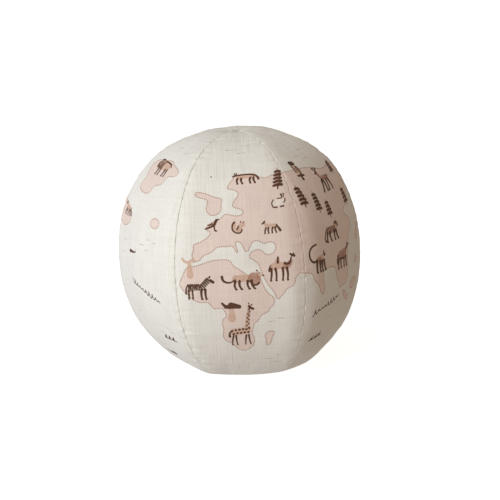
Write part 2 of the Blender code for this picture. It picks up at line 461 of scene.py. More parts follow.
def loft(name, rings, closed=False, uv=None, fields=None):
    """A solid through rings of points: a profile carried along, capped or closed end to end."""
    rows, columns = rings.shape[:2]
    quads = loft_faces(rows, columns, closed)
    caps = []
    if not closed:
        caps = [np.arange(columns)[::-1], (rows - 1) * columns + np.arange(columns)]
    if inside_out(rings, quads):
        quads = quads[:, ::-1]
        caps = [cap[::-1] for cap in caps]
    return put_mesh(name, rings, quads, caps, uv, fields)


def tube(path, radius, sides, closed=False, start=(0.3, 0.2, 1.0)):
    """Rings of a round tube: at each path point a circle square to the path.

    The circle's first spoke is the path's direction crossed with start.
    """
    if closed:
        tangent = np.roll(path, -1, 0) - np.roll(path, 1, 0)
    else:
        tangent = np.gradient(path, axis=0)
    tangent /= np.linalg.norm(tangent, axis=1, keepdims=True)
    side = np.cross(tangent, np.asarray(start, dtype=float))
    side /= np.linalg.norm(side, axis=1, keepdims=True)
    other = np.cross(tangent, side)
    turn = (tau * np.arange(sides) / sides)[:, None]
    ring = np.cos(turn) * side[:, None] + np.sin(turn) * other[:, None]
    return path[:, None] + radius * ring


def tube_uv(path, sides):
    """Along the path and round it, in metres and in turns, for a yarn's twist."""
    u, v = np.meshgrid(way_along(path), np.arange(sides) / sides, indexing="ij")
    return np.stack([u.ravel(), v.ravel()], -1)


# ---------------------------------------------------------------- printed outlines

# Outlines are (turn, rise) in degrees. Corners are rounded by cutting before they are used.
LANDS = {
    "africa": [
        (-21, 7), (-16, 8.7), (-12, 9.9), (-7, 10), (-4.2, 9.5), (-3.5, 7.2), (0, 5), (5, 1),
        (9, 2), (9.1, 0.9), (10.3, -2.3), (11.2, -5), (13.5, -7.7), (15, -8.6), (15.5, -10.5),
        (15, -12.5), (13.6, -13.5), (12.5, -16), (8.5, -17.5), (8, -20), (5.5, -21.5), (5, -24),
        (4.2, -27), (5.7, -30), (5.3, -34), (3, -36.5), (0, -37.8), (-3, -36.5), (-5, -34),
        (-6.5, -32), (-9.5, -30.5), (-10.8, -27.5), (-9.6, -24), (-10.3, -20.5), (-9.3, -18),
        (-7.5, -17), (-8.5, -14), (-9.7, -12.3), (-11.5, -13), (-13.8, -12.7), (-14.7, -10.5),
        (-16.3, -9.3), (-18.5, -9.7), (-21.5, -8.8), (-23.3, -7), (-24.5, -5.3), (-26.5, -3.8),
        (-28.2, -1), (-27, 1.4), (-26, 3.2), (-25.2, 5), (-24, 7),
    ],
    "isles": [
        (-22.7, 40.5), (-17, 40), (-13, 38.5), (-9, 38), (-8, 37), (-8.7, 35), (-8.2, 32.5),
        (-9.5, 31), (-12, 29.8), (-14.5, 30.2), (-16.5, 32.5), (-16, 35), (-16, 37), (-19, 37.7),
        (-22.5, 38.2), (-23.5, 39.2),
    ],
    "eurasia": [
        (-2, 49), (-1.2, 47.5), (-3, 46.5), (-5.5, 43.2), (-4.5, 42.2), (-2, 42.2), (1.2, 40.5),
        (1, 39), (-1, 37), (-2.5, 35), (-2, 33.3), (0.5, 33), (3, 32), (3.2, 30.5), (1.5, 29.5),
        (-1.5, 29.5), (-4, 30.2), (-6.5, 30.5), (-7.5, 29.5), (-9.3, 28), (-16, 24.5),
        (-15.5, 23.3), (-14, 22.8), (-13.5, 21.5), (-14.5, 20.2), (-17.8, 18), (-20, 17.3),
        (-21.3, 16.5), (-21, 14.5), (-22, 12), (-21, 9.5), (-18.5, 9.5), (-17, 12), (-12.5, 13.5),
        (-11, 15.5), (-8.5, 16), (-6, 15.8), (-3.3, 16.3), (-2, 14.5), (-1, 12.5), (-0.5, 13.8),
        (-2, 17.5), (-0.5, 18), (1.5, 17), (2, 15), (3, 13), (4.5, 13.5), (6, 17), (8, 18),
        (10.5, 17.2), (12, 16), (14, 16.8), (16.5, 16.5), (17.5, 14.5), (16.8, 12.5), (15, 11),
        (12.5, 11), (11.5, 12.5), (9.5, 13.8), (7, 13.5), (5, 12.3), (4.7, 10), (7.5, 8.8),
        (9, 6.5), (9.8, 4), (11.6, -0.9), (14.4, -5), (15.7, -6.8), (16.2, -9), (17.5, -10),
        (18.5, -8.2), (20.3, -6.8), (20.7, -5.2), (23.5, -4.1), (25, -2.7), (25, -0.5),
        (27.5, 1.6), (29, 0.9), (32.3, 0.5), (34.4, -0.6), (34.8, -3.4), (38, -6), (39.4, -9.9),
        (40.9, -11.6), (43, -10.6), (42.6, -7), (41.2, -4.9), (41.6, -0.6), (44.6, 0.1),
        (51, -0.6), (53, -2.7), (53.5, -6.3), (57, -10.6), (58.5, -13.4), (60.5, -12),
        (63, -12.7), (66.5, -11.3), (66, -7.7), (65.5, -3), (66.2, 6.6), (68, 8.7),
        (70, 11.6), (73.7, 14.4), (73.4, 18), (70.2, 19.4), (69, 21.2), (70.5, 23.4),
        (73.7, 23.7), (78, 26), (82, 30), (86, 36), (90, 42), (84, 45), (76, 45), (68, 44.8),
        (60, 46.5), (55, 48), (48, 48.7), (34, 48), (23, 47.5), (18, 46.2), (15, 47.3), (10, 49),
        (4, 50),
    ],
    "madagascar": [
        (11.9, -26.4), (15.7, -26.1), (15.7, -28.2), (14.6, -30), (14.6, -33.2), (12.8, -35),
        (11.9, -33.2), (11.9, -30.9), (11, -29.1),
    ],
    "greenland": [
        (-50, 53), (-43.8, 51.5), (-39.6, 49.2), (-42.3, 47), (-50, 47.3), (-51.5, 43.8),
        (-54.6, 42), (-60.8, 41.5), (-61.5, 37.7), (-66.9, 36.2), (-75.4, 37), (-77.7, 39.2),
        (-76, 43), (-78.5, 47), (-80, 50), (-75.4, 54), (-66, 55), (-57, 55.8),
    ],
    "north_america": [
        (-76, 19), (-72.5, 21.5), (-73, 25), (-78, 27.5), (-86, 29), (-92, 34), (-96, 40), (-99, 38),
        (-97, 43), (-104, 47), (-116, 49), (-128, 50), (-140, 49), (-151, 46), (-157, 41),
        (-152, 38), (-143, 40), (-135, 37), (-128, 31), (-126, 24), (-121, 18), (-116, 12),
        (-110, 8), (-104, 5), (-98, 1), (-95, -2), (-92, 1), (-95, 6), (-99, 9), (-103, 14),
        (-98, 16), (-93, 13), (-91, 17), (-85, 20), (-81, 18),
    ],
    "south_america": [
        (-121, -3), (-114, -2), (-108, -6), (-101, -9), (-94, -14), (-94, -18), (-99, -22),
        (-101, -28), (-107, -31), (-109, -36), (-114, -40), (-116, -46), (-120, -51), (-124, -48),
        (-123, -40), (-121, -31), (-121, -23), (-126, -16), (-129, -9), (-126, -5),
    ],
    "australia": [
        (93, -19), (97, -15), (101, -14), (103, -17), (107, -12), (110, -17), (115, -22),
        (117, -28), (113, -34), (107, -37), (102, -33), (96, -32), (89, -34), (85, -30),
        (85, -25), (89, -21),
    ],
    "sumatra": [(62, -16), (64, -15.4), (68, -18.4), (72, -21.5), (70.5, -22.5), (66, -19.6)],
    "borneo": [(71, -13), (74, -11.3), (77.4, -12), (77, -15.5), (74.4, -17.5), (71.2, -16)],
    "new_guinea": [(86, -11), (91, -12), (97, -13), (101, -10), (97, -8), (90, -8)],
    "japan": [(77, 6), (79.4, 7), (81.4, 10), (83.4, 13), (81.6, 14), (79.4, 11), (76.8, 8)],
    "new_zealand": [(126, -38), (130, -40), (129, -44), (124, -48), (121, -47), (125, -43)],
}
# Round islands: turn, rise, half width and half height in degrees
ROUND_ISLES = [
    (-46.6, 24.3, 4, 2.3), (-131, 22, 2.5, 1.5), (150, 6, 2, 1.4), (171, -8, 2.6, 1.7),
    (-152, -14, 2.1, 1.5), (141, 20, 1.8, 2.2), (76, -3, 1.3, 2),
]
SHORE_RISE = -71


def round_corners(points, rounds=2, closed=True):
    """Cuts each corner at a quarter and three quarters of its sides, as many times as asked."""
    path = np.asarray(points, dtype=float)
    for _ in range(rounds):
        after = np.roll(path, -1, 0) if closed else path[1:]
        before = path if closed else path[:-1]
        cut = np.stack([0.75 * before + 0.25 * after, 0.25 * before + 0.75 * after], 1)
        cut = cut.reshape(-1, 2)
        path = cut if closed else np.concatenate([path[:1], cut, path[-1:]])
    return path


def coast_lines():
    """Every coast as a closed line of (turn, rise) in degrees."""
    lines = [round_corners(points) for points in LANDS.values()]
    circle = tau * np.arange(28) / 28
    for turn, rise, wide, high in ROUND_ISLES:
        lines.append(np.stack([turn + wide * np.cos(circle), rise + high * np.sin(circle)], 1))
    return lines


def polar_shore(turn):
    """Distance up the seam of the southern shore: a rise swaying by two sines of the turn."""
    rise = SHORE_RISE + 2.0 * np.sin(3 * turn + 0.7) + 1.3 * np.sin(7 * turn)
    return np.radians(rise) * SEAM_RADIUS


COAST_REACH = 2.4  # mm either side of a coast in which its distance is worked out


def land_fields(turn, along, radius):
    """Signed distance to the nearest coast, positive on land, and the way along it, in mm.

    Along each row, land is where an odd number of coast sides lie to the right. The distance
    is measured on the cloth: turn times the row's radius across, distance up the seam.
    """
    gap = (polar_shore(turn) - along) * MM
    land = np.minimum(np.abs(gap), COAST_REACH)
    run = turn * radius * MM
    inside = gap > 0
    row_along = along[:, 0]
    for line in coast_lines():
        for shift in (-360, 0, 360):
            path = np.radians(line + (shift, 0))
            path[:, 1] *= SEAM_RADIUS
            if path[:, 0].max() < turn.min() - 0.1 or path[:, 0].min() > turn.max() + 0.1:
                continue
            way = 0.0
            for a, b in zip(path, np.roll(path, -1, 0)):
                low, high = sorted((a[1], b[1]))
                rows = slice(*np.searchsorted(row_along, (low, high)))
                if rows.stop > rows.start:
                    share = (row_along[rows] - a[1]) / (b[1] - a[1])
                    crossing = (a[0] + share * (b[0] - a[0]))[:, None]
                    inside[rows] ^= turn[rows] < crossing
                margin = COAST_REACH / MM
                rows = slice(*np.searchsorted(row_along, (low - margin, high + margin)))
                if rows.stop <= rows.start:
                    continue
                r = radius[rows]
                dx, dy = (b[0] - a[0]) * r, b[1] - a[1]
                px, py = (turn[rows] - a[0]) * r, along[rows] - a[1]
                size = np.maximum(dx * dx + dy * dy, 1e-12)
                share = np.clip((px * dx + py * dy) / size, 0, 1)
                away = np.hypot(px - share * dx, py - share * dy) * MM
                length = float(np.hypot(dx, dy).mean()) * MM
                near = away < land[rows]
                land[rows] = np.where(near, away, land[rows])
                run[rows] = np.where(near, way + share * length, run[rows])
                way += length
    return np.where(inside, land, -land), run


# ---------------------------------------------------------------- printed figures

INKS = ("ink", "tan", "rust", "pale", "fine")
NO_INK = -2.0  # depth in mm that stands for cloth with no ink near


def mark(colour, wide, *places):
    """A stroke: its colour, its width or (start, end) widths in mm, and the places it passes."""
    start, end = wide if isinstance(wide, tuple) else (wide, wide)
    return colour, start, end, np.array(places, dtype=float)


ink, tan, rust, pale, fine = (partial(mark, name) for name in INKS)


def legs(top, foot, *places, wide=1.5, bend=0.5):
    """Tapering legs from (x at the top, x at the foot), bent back at the knee, with a toe."""
    made = []
    for a, b in places:
        knee = ((a + b) / 2 - bend, top + (foot - top) * 0.5)
        made.append(ink((wide * 1.1, wide * 0.7), (a, top), knee, (b, foot)))
        made.append(ink(wide * 0.75, (b, foot), (b + 0.3 * wide, foot)))
    return made


def dots(wide, *places):
    """Round dark dots at places."""
    return [ink(wide, place) for place in places]


def bars(wide, count, start, step, *line):
    """The same short line drawn again and again, moved on by a step each time."""
    return [ink(wide, *(np.add(place, np.add(start, np.multiply(step, n))) for place in line))
            for n in range(count)]


def conifer(tiers):
    """Tiers of thick drooping boughs, wider downwards, with the trunk between and below."""
    pitch = 2.35
    made = [tan((1.2, 3.8), (0, pitch * tiers + 0.4), (0, 0.8)), ink(0.9, (0, 0), (0, -2.2))]
    for k in range(tiers):
        half, y = 1.15 + 1.35 * (tiers - k) / tiers, pitch * k + 0.6
        bough = [(-half, y - 0.4), (-half * 0.4, y), (half * 0.4, y), (half, y - 0.4)]
        made.append(ink((1.7, 2.0), *bough))
    return made


def fins():
    """A row of three small sharp fins standing on one line."""
    line = ink(0.7, (-5.6, -0.9), (5.6, -0.9))
    return [line, *bars((2.0, 0.35), 3, (-3.6, 0), (3.5, 0), (-0.5, -0.35), (1.0, 2.0))]


def swell(length, slope=0.12):
    """A rolling line of little waves of changing height, climbing by a slope."""
    x = np.linspace(-length / 2, length / 2, int(length * 2.2))
    y = (1.25 + 0.75 * np.sin(x / 3.1)) * np.sin(x * 1.9) + slope * x
    return [ink(0.72, *np.stack([x + 0.5 * np.cos(x * 1.9), y], 1))]


def dash(length):
    """One short thin mark with a slight bend."""
    return [fine(0.42, (-length / 2, 0), (0, 0.35), (length / 2, 0.15))]


# Each drawing faces right, with its places in mm from its own middle
DRAWINGS = {
    "lion": [
        tan((4.6, 4), (-4.2, 1.2), (0, 1.5), (4, 1.3)), tan((3, 2.2), (9.3, 3.6), (11, 2.6)),
        rust((6.8, 5.8), (6.6, 1.2), (8, 0.2)),
        ink((0.8, 1.3), (4.2, -0.6), (6.2, -2.9), (8.4, -3.2), (10, -1.8)),
        ink((0.7, 1.7), (-4.6, 0.9), (-7.2, -0.9), (-10.2, -0.8), (-12.2, 0.6), (-12.6, 2.8)),
        *legs(-0.2, -5.2, (-4.6, -4.4), (-2, -1), (3, 3.8), (5.4, 7), wide=1.55, bend=0.8),
        *dots(1.2, (8.9, 5.6), (12.6, 2.4)), *dots(0.8, (10.2, 4.2), (9.2, 3.4))],
    "zebra": [
        pale((4, 4), (-6.2, 0.3), (0.6, 0.2), (5.2, 4.2)),
        *bars((1.1, 0.8), 6, (0.7, 0), (0.95, 0.95), (-1.3, 1.2), (0.9, -1.2)),
        *bars((1.15, 0.8), 6, (-7.3, 0), (1.25, 0), (0, 2.1), (0.4, 0.5), (0, -1.5)),
        ink(1.1, (5.7, 6.3), (6.1, 7.1)), ink((1.1, 2), (6.4, 5), (7.9, 3.4)),
        ink((0.7, 1.3), (-7.8, 1.6), (-8.9, -0.8), (-8.9, -3.6)),
        *bars((1.35, 1.1), 3, (-7.2, -1.7), (-0.05, -2.1), (0, 0), (0.1, -1.2)),
        *bars((1.3, 1), 3, (-5, -1.9), (0.05, -2), (0, 0), (0.1, -1.1)),
        *legs(-1.2, -7.4, (0.5, 0.6), (2.9, 3.2), wide=1.55, bend=0.2)],
    "camel": [
        tan((4.6, 4.2), (-3.6, 0.8), (0, 1.6), (3.4, 0.8)), tan((4, 1.6), (-1.2, 2.8), (-0.6, 6.2)),
        rust((4, 2.4), (4.4, 0.6), (6, 1.6), (7.2, 3.2)), ink((1.5, 1), (-0.8, 3.2), (-0.6, 6.6)),
        ink((1.6, 1), (3.4, 2.6), (5.4, 1.6), (6.8, 3), (7.5, 5.6)),
        ink((1.1, 1.7), (6.9, 7.8), (8.2, 6.9), (9.6, 6.4)), ink(0.9, (9.2, 7.9), (8.6, 7)),
        ink((0.7, 1.2), (-5.2, 1.8), (-6.3, 0.2), (-6.3, -1.8)),
        *legs(-0.4, -8, (-5, -5.6), (-2.4, -2.2), (2, 1.8), (4.6, 4.8), wide=1.45, bend=-0.5)],
    "giraffe": [
        tan((4.6, 4), (-4, -3.8), (0, -3.4), (3, -3)),
        tan((2.8, 1.5), (3, -1.8), (3.6, 3.6), (4.6, 10.4)),
        ink((1.5, 1.4), (4.7, 11.6), (5.6, 10.6), (6.9, 9.9)),
        *dots(1.45, (-5.2, -3), (-4.4, -5), (-3.2, -2.6), (-2.4, -4.6), (-1.2, -2.4), (-0.4, -4.6)),
        *dots(1.45, (0.8, -2.2), (1.6, -4.4), (2.6, -2.4), (3.6, -4.4), (4.1, -1.6)),
        *dots(1.15, (2.9, 0), (4.1, 1.2), (3.1, 2.4), (4.2, 3.6), (3.5, 4.8), (4.5, 6), (3.9, 7.2)),
        *dots(1.15, (4.9, 8.4), (4.5, 9.7)), *dots(1, (4.6, 13.2), (6.2, 12.4)),
        ink((0.8, 1.5), (-5.6, -3), (-6.8, -4.6), (-6.6, -6.6)),
        *legs(-6.2, -12.6, (-4.6, -5.4), (-3.2, -2.6), (2.4, 1.8), (3.8, 4.6), wide=1, bend=0.2)],
    "baobab": [
        tan((1.8, 1.4), (-4.2, 5.4), (-2.8, 3.6), (-0.8, 3.2), (1.4, 3.9), (3.8, 3.8)),
        tan(2.2, (1.2, 4.2), (2.8, 4.2)), tan((1.9, 4.2), (0.2, 3.4), (0.1, -1.6), (0.2, -4.6))],
    "acacia": [
        tan((2.4, 4.8), (0.6, 1.6), (0.4, -2.2), (0.4, -5.4)),
        ink((1.4, 2.6), (-5.2, 5), (-3.4, 2.9), (-0.8, 2.4)),
        ink((3.8, 2.6), (0.2, 3.6), (2.4, 3.2), (5.2, 2.4)), ink(2.2, (-3.2, 2.6), (5, 2.3))],
    "conifer": conifer(4),
    "tall conifer": conifer(5),
    "palm": [
        tan((1.5, 2.2), (0.2, 4.8), (0.8, 0), (0, -5.6)),
        *(ink((1.5, 0.6), (0.2, 5.2), (x * 0.6, y + 1), (x, y))
          for x, y in ((-4.6, 4.4), (-3.6, 6.8), (-0.4, 8.2), (3.4, 7), (4.8, 4.2)))],
    "hound": [
        tan((2.7, 2.9), (-4.4, 0.6), (0, 0.9), (4, 0.8)), ink((1.6, 1), (5.6, 2), (7.4, 1.2)),
        ink((1, 1.3), (5.2, 1.9), (0, 2.3), (-4.8, 1.9), (-7.2, 0.2), (-7.9, -1.8)),
        *dots(1, (5.1, 3.4), (6.4, 3.2)),
        *legs(-0.4, -4, (-5, -6), (-3, -3.2), (2.4, 1.6), (4.6, 4.6), wide=1.35, bend=-0.7)],
    "rabbit": [
        ink(0.75, (-3.4, -2.6), (-4.2, -0.4), (-3, 1.5)), ink(0.75, (-0.6, 2), (1.8, 1.9)),
        ink(0.75, (3.9, 1.4), (4.1, 0), (3, -0.9)), ink((0.5, 1.1), (2.4, 2.2), (1.5, 4.2)),
        ink((0.5, 1), (3.2, 2.2), (3, 4.4)), ink(0.85, (-3, -3), (-0.8, -3.2)),
        ink(1, (1.2, -3.1), (3, -3)), pale(3.4, (-1.6, -0.6), (2, -0.4))],
    "squirrel": [
        tan((3.2, 2.4), (0.2, -1), (2, 2)), tan(2, (2.4, 2.2), (3.2, 1.6)),
        tan((1.6, 2.4), (-2.4, -1.2), (-2, 2.4)),
        ink((0.8, 1), (-1, -2.6), (-3.2, -1.4), (-3.2, 1.8), (-1.8, 3.2)),
        *dots(0.9, (3.3, 2.9), (1.6, 3.3)), ink(0.8, (-0.8, -2.7), (1.4, -2.8), (2.2, -1)),
        ink(0.8, (0.4, 1), (-0.6, -0.8))],
    "fox": [
        tan((2.4, 2.8), (-3, 0.8), (2.4, 1.2)), tan((2, 1.4), (2.8, 1.6), (3.9, 2.8)),
        ink((1.4, 0.8), (4.2, 3.4), (5.5, 2.6)), *dots(1, (3.8, 4.1)),
        ink((1, 1.7), (-3.6, 1.2), (-4.8, -0.8), (-5.8, -2.4)),
        *legs(-0.2, -3.4, (-2.8, -3.6), (-1.2, -1), (1.4, 1.2), (3, 3.6), wide=1.15, bend=-0.5)],
    "bird": [
        tan((3, 1.4), (-0.2, 0.6), (-2.4, -0.8)),
        ink((1.5, 0.7), (1.2, 2.2), (0.4, 0.2), (-1.8, -1), (-4.4, -2)),
        ink((1.1, 0.5), (1.4, 2.8), (2.9, 3.2)), ink(0.8, (0.2, -0.8), (0.4, -2.8), (1.4, -2.9)),
        ink(0.7, (-0.8, 0.8), (-3, 0))],
    "deer": [
        tan((3.8, 3), (-3, 0.2), (2.6, 0.8)), tan((2.6, 1.4), (2.4, 1), (4.6, 4.6)),
        rust(2.4, (-2.8, 0.6), (1.2, 0.9)), ink((0.9, 0.8), (1.6, -1.2), (3.6, 0.8), (5.2, 4.2)),
        ink((1.7, 1), (4.7, 5), (6.5, 4.3)), ink(0.9, (4.6, 5.6), (3.6, 7), (4, 8.6)),
        ink(0.9, (5, 5.6), (5.6, 7.2), (6.8, 8.2)), ink(0.8, (3.8, 7.2), (2.6, 7.8)),
        ink(0.8, (5.6, 7), (5.4, 8.6)), ink(1.1, (-4.2, 1.6), (-5.2, 0.4)),
        *legs(-0.8, -7.4, (-3.8, -5.2), (-1.4, -0.6), (2, 1.6), (3.8, 6.2), wide=1.8, bend=0.3)],
    "tiger": [
        tan((3.6, 3.4), (-4.8, 0.8), (3.8, 1.2)), tan(3.2, (5.2, 2.8)), *dots(1, (5.6, 3), (7.4, 2.2)),
        *bars(0.95, 6, (-4.8, 0), (1.6, 0), (0, 2.5), (0.4, 0.7), (-0.2, -0.9)),
        ink((1.2, 1), (4, 3.6), (5.8, 4.6), (7.2, 3.2), (6.8, 1.4)),
        ink((0.9, 1.2), (-5.8, 1.4), (-7.4, -0.8), (-8.6, -3.4), (-7.6, -4.8)),
        *legs(-0.4, -5.2, (-5, -6.2), (-2.8, -1.8), (2.6, 2.2), (4.6, 5.8), wide=1.7, bend=0.4)],
    "monkey": [
        tan((3.8, 3.6), (-1.4, 0.4), (2.2, 1.2)), rust(2, (-1.6, 0.6), (0.8, 0.9)),
        ink((1.5, 1.8), (4.4, 3.2), (5, 2.4)), *dots(1.3, (4.6, 4.4)), tan(1.8, (3, 2), (4, 2.6)),
        ink((1.3, 1.1), (-2.4, 0.6), (-5.2, -0.4), (-7.8, 2), (-7.8, 6), (-5.4, 8.8), (-1.6, 9.4)),
        *legs(-0.6, -6.4, (-2.6, -2.8), (0, 0.2), (2, 2.4), (4, 5.2), wide=1.75, bend=0.3)],
    "yak": [
        rust((4.6, 4), (-3, 1.2), (3.2, 2)), ink((1.1, 1.6), (4.8, 3.4), (6.6, 4.4)),
        tan(2, (4.4, 3), (5.6, 3.6)), ink(0.95, (6.2, 6.2), (7.2, 4.8), (8.6, 5.2)),
        ink((1.5, 0.9), (-5.2, 1.4), (-6.6, -1), (-5.8, -3.4)), ink(1.2, (-2.4, -0.8), (0.6, -1.2)),
        *legs(-0.8, -6, (-4.4, -5), (-2.2, -1.8), (2, 1.8), (4.2, 4.8), wide=1.7, bend=0.3)],
    "ox": [
        tan((6.4, 5.6), (-4.6, 0.8), (1, 1.8), (5.4, 0.8)),
        *bars(0.9, 4, (1.8, 0), (1.3, 0), (0, 3.2), (0.7, -0.6)),
        ink((1.2, 1.9), (7.2, 3.2), (8.6, 1.4), (7.6, -0.8)), ink((1.3, 0.8), (-6.8, 3), (-8.8, 1)),
        ink(1.1, (-6.6, 3.2), (-2, 4.4), (2.6, 4.4)), ink(1.4, (4.4, 4.8), (6.8, 4.6)),
        *legs(-1.2, -5.6, (-6, -6.4), (-3.4, -3), (2.4, 2.2), (5, 5.6), wide=1.7, bend=0.2)],
    "bear": [
        rust((5.2, 4.8), (-3.6, 0.6), (2.6, 0.6)), rust((3.4, 2), (4, 1.4), (6.4, 0.4)),
        *dots(1.1, (4, 3.2), (7.4, 0)), ink(0.8, (-5.8, 2.2), (0, 3.2), (3.2, 2.8)),
        *legs(-1.2, -5, (-5, -5.2), (-2.4, -2.2), (1.8, 1.8), (4.2, 4.6), wide=1.8, bend=0.2)],
    "roo": [
        tan((5, 2.6), (-2.6, -1.6), (1, 2.2)), tan(2.2, (1.8, 3.4), (2.6, 4.8)),
        ink((1.4, 0.9), (2.6, 5.4), (4.2, 4.6)), ink((0.6, 0.9), (2.2, 6.2), (1.6, 8)),
        ink((1.6, 0.7), (-4.2, -2.6), (-6.4, -4.6), (-9.2, -5.2)), ink(0.8, (1.8, 1), (3.8, 0.2)),
        ink((1.6, 0.9), (-1.2, -2.6), (-1.8, -4.8), (1.8, -5.4))],
    "bird on stump": [
        tan((3, 3.6), (0, 3), (0.2, -2.2)), ink(2.8, (-0.6, 4.4), (0.7, 4.4)),
        ink(0.9, (-1.6, 2.6), (-1.6, -1.4)), ink(1, (1.5, 2.2), (1.8, -1.2), (0.6, -3.2)),
        ink(1.3, (-2, -3.6), (2.2, -3.6)), ink(0.8, (0.3, 1.8), (0.1, -1)),
        ink((1.1, 1.8), (0.1, -3.8), (0.1, -5.8))],
    "penguin": [
        ink((3.2, 2.6), (0, -1.8), (0, 1.6)), ink((1.8, 0.8), (0.1, 3.2), (1.9, 2.9)),
        pale(1.5, (0.7, -1.8), (0.7, 0.9)), tan(0.9, (-0.8, -3.8), (1.3, -3.8))],
    "whale": [
        ink((2.9, 1), (3.2, 0.2), (0, 0.7), (-3.8, 0.1), (-6, 0.9)),
        ink((0.9, 0.6), (-5.8, 0.8), (-7, 2.2)), ink((0.9, 0.6), (-5.9, 0.9), (-7.6, 0.5))],
    "fins": fins(),
    "falling swell": swell(31, -0.28),
    "rising swell": swell(28, 0.14),
    "swell": swell(21),
    "dot": dots(1.1, (0, 0)),
}

# Each figure: its drawing, its turn and rise in degrees, its size, and -1 where it faces left
FIGURES = [
    ("hound", 6, 47.8, 1, -1), ("tall conifer", 24, 41.6, 0.96), ("rabbit", 22, 34),
    ("bird", -12, 25.5, 1.15), ("squirrel", 0, 24, 1.1), ("fox", 16, 23, 0.95, -1),
    ("baobab", -23, 6.6, 0.95), ("zebra", -18.6, -2.6, 0.95), ("lion", 1, 0),
    ("camel", 18.1, 4.8, 0.95), ("acacia", -5.4, -14.2), ("giraffe", -0.9, -22.4, 1.13),
    ("bird on stump", 42, 48, 1.2), ("tall conifer", 36.5, 31),
    ("tall conifer", 46.5, 27, 0.95), ("conifer", 54.5, 23.4, 0.95), ("conifer", 76.5, 25),
    ("conifer", 79, 41, 0.85), ("deer", 63.5, 40, 1.08, -1), ("tiger", 52.5, 15.6, 1.08),
    ("monkey", 39.5, 4.6, 1.05), ("yak", 60, 2, 1.12), ("rising swell", 46.5, -18),
    ("fins", 42.5, -34.5, 1.15), ("ox", -63, 51, 1, -1), ("fox", -79, 26, 1, -1),
    ("whale", -66, 8, 0.8, -1), ("falling swell", -54.5, -9), ("fins", -44, -32, 1.1),
    ("whale", -55, -45, 0.95), ("bear", -118, 44, 1, -1), ("conifer", -103, 41, 0.8),
    ("conifer", -97, 40, 0.7), ("conifer", -143, 41, 0.85), ("deer", -132, 41, 0.8),
    ("ox", -112, 27, 0.8, -1), ("hound", -116, 17, 0.85), ("conifer", -104, 29, 0.8),
    ("bird", -91, 24), ("monkey", -112, -16, 0.85, -1), ("palm", -121, -12, 0.75),
    ("bird", -96, -40, 1, -1), ("yak", -114, -30, 0.72), ("swell", -141, -6), ("swell", 153, -12),
    ("whale", 168, 28, 1.1), ("fins", 176, -34), ("whale", -160, -40, 0.9, -1),
    ("roo", 105, -22, 0.9), ("palm", 94, -25, 0.6), ("roo", 99, -29, 0.55, -1), ("swell", 104, 12),
    ("whale", 112, 32, 1, -1), ("fins", 134, -26, 0.9), ("bird", 128, 2),
    ("bird", -170, 8, 1, -1), ("penguin", -20, -76, 0.8), ("penguin", 75, -76, 0.8),
    ("penguin", 190, -76, 0.9, -1), ("penguin", 140, -76, 0.8), ("bear", 150, 56, 0.7),
    ("dot", -16, 48.6),
]
# Each short thin mark: its turn and rise in degrees and its length in mm
DASHES = [
    (15, -21, 5), (18.5, -19.5, 5), (21.5, -41.3, 5), (14.5, -44.3, 5), (20.5, -47, 5), (-12, -49, 4),
    (-3.5, 65, 7), (5.5, 62.8, 5), (12, 68, 5), (53, -27, 6), (51.5, 55.5, 5), (60, 53.5, 5),
    (63.5, 59.3, 5), (-56, 13, 5), (-50, 16, 5), (-45, 15, 5), (-51, 11, 5), (-75, 12, 5), (-77, 6, 5),
    (-42, -26, 5), (-39, -27.5, 4), (-49, -29.5, 5), (-68, -22, 6), (-64, 64, 5), (-48, 61, 5),
    (83, -4, 5), (88, -2, 5), (80, -42, 5), (72, -36, 5), (112, 2, 6), (118, 0, 5), (126, 22, 6),
    (133, 20, 5), (150, 40, 6), (156, 38, 5), (170, 12, 6), (178, 15, 5), (-172, 36, 6), (-166, 34, 5),
    (-150, 24, 6), (-145, 22, 5), (-156, -24, 6), (-149, -26, 5), (-84, -12, 6), (-88, -15, 5),
    (-140, -42, 5), (-70, -48, 5), (140, -44, 6), (147, -46, 5), (160, 62, 5), (-150, 60, 5),
    (-100, 62, 5), (100, 60, 5), (108, 50, 5), (-30, -44, 5), (-25, -46, 5), (34, -52, 5), (40, -54, 4),
]


def placed(strokes, turn, rise, size=1.0, facing=1):
    """Strokes with their place, in full size and facing right unless told otherwise."""
    return strokes, turn, rise, size, facing


def placed_figures():
    """Every figure and dash as its strokes, turn, rise, size and facing."""
    for name, *place in FIGURES:
        yield placed(DRAWINGS[name], *place)
    for turn, rise, length in DASHES:
        yield placed(dash(length), turn, rise)


def stroke_depth(x, y, start, end, places):
    """How far inside a stroke a point lies: half its width there less the distance to its line."""
    path = round_corners(places, 2, False) if len(places) > 2 else np.resize(places, (2, 2))
    way = way_along(path)
    half = (start + (end - start) * way / max(way[-1], 1e-6)) / 2
    best = np.full(x.shape, NO_INK)
    for n in range(len(path) - 1):
        (ax, ay), (dx, dy) = path[n], path[n + 1] - path[n]
        t = np.clip(((x - ax) * dx + (y - ay) * dy) / max(dx * dx + dy * dy, 1e-9), 0, 1)
        depth = half[n] + (half[n + 1] - half[n]) * t - np.hypot(x - ax - t * dx, y - ay - t * dy)
        best = np.maximum(best, depth)
    return best


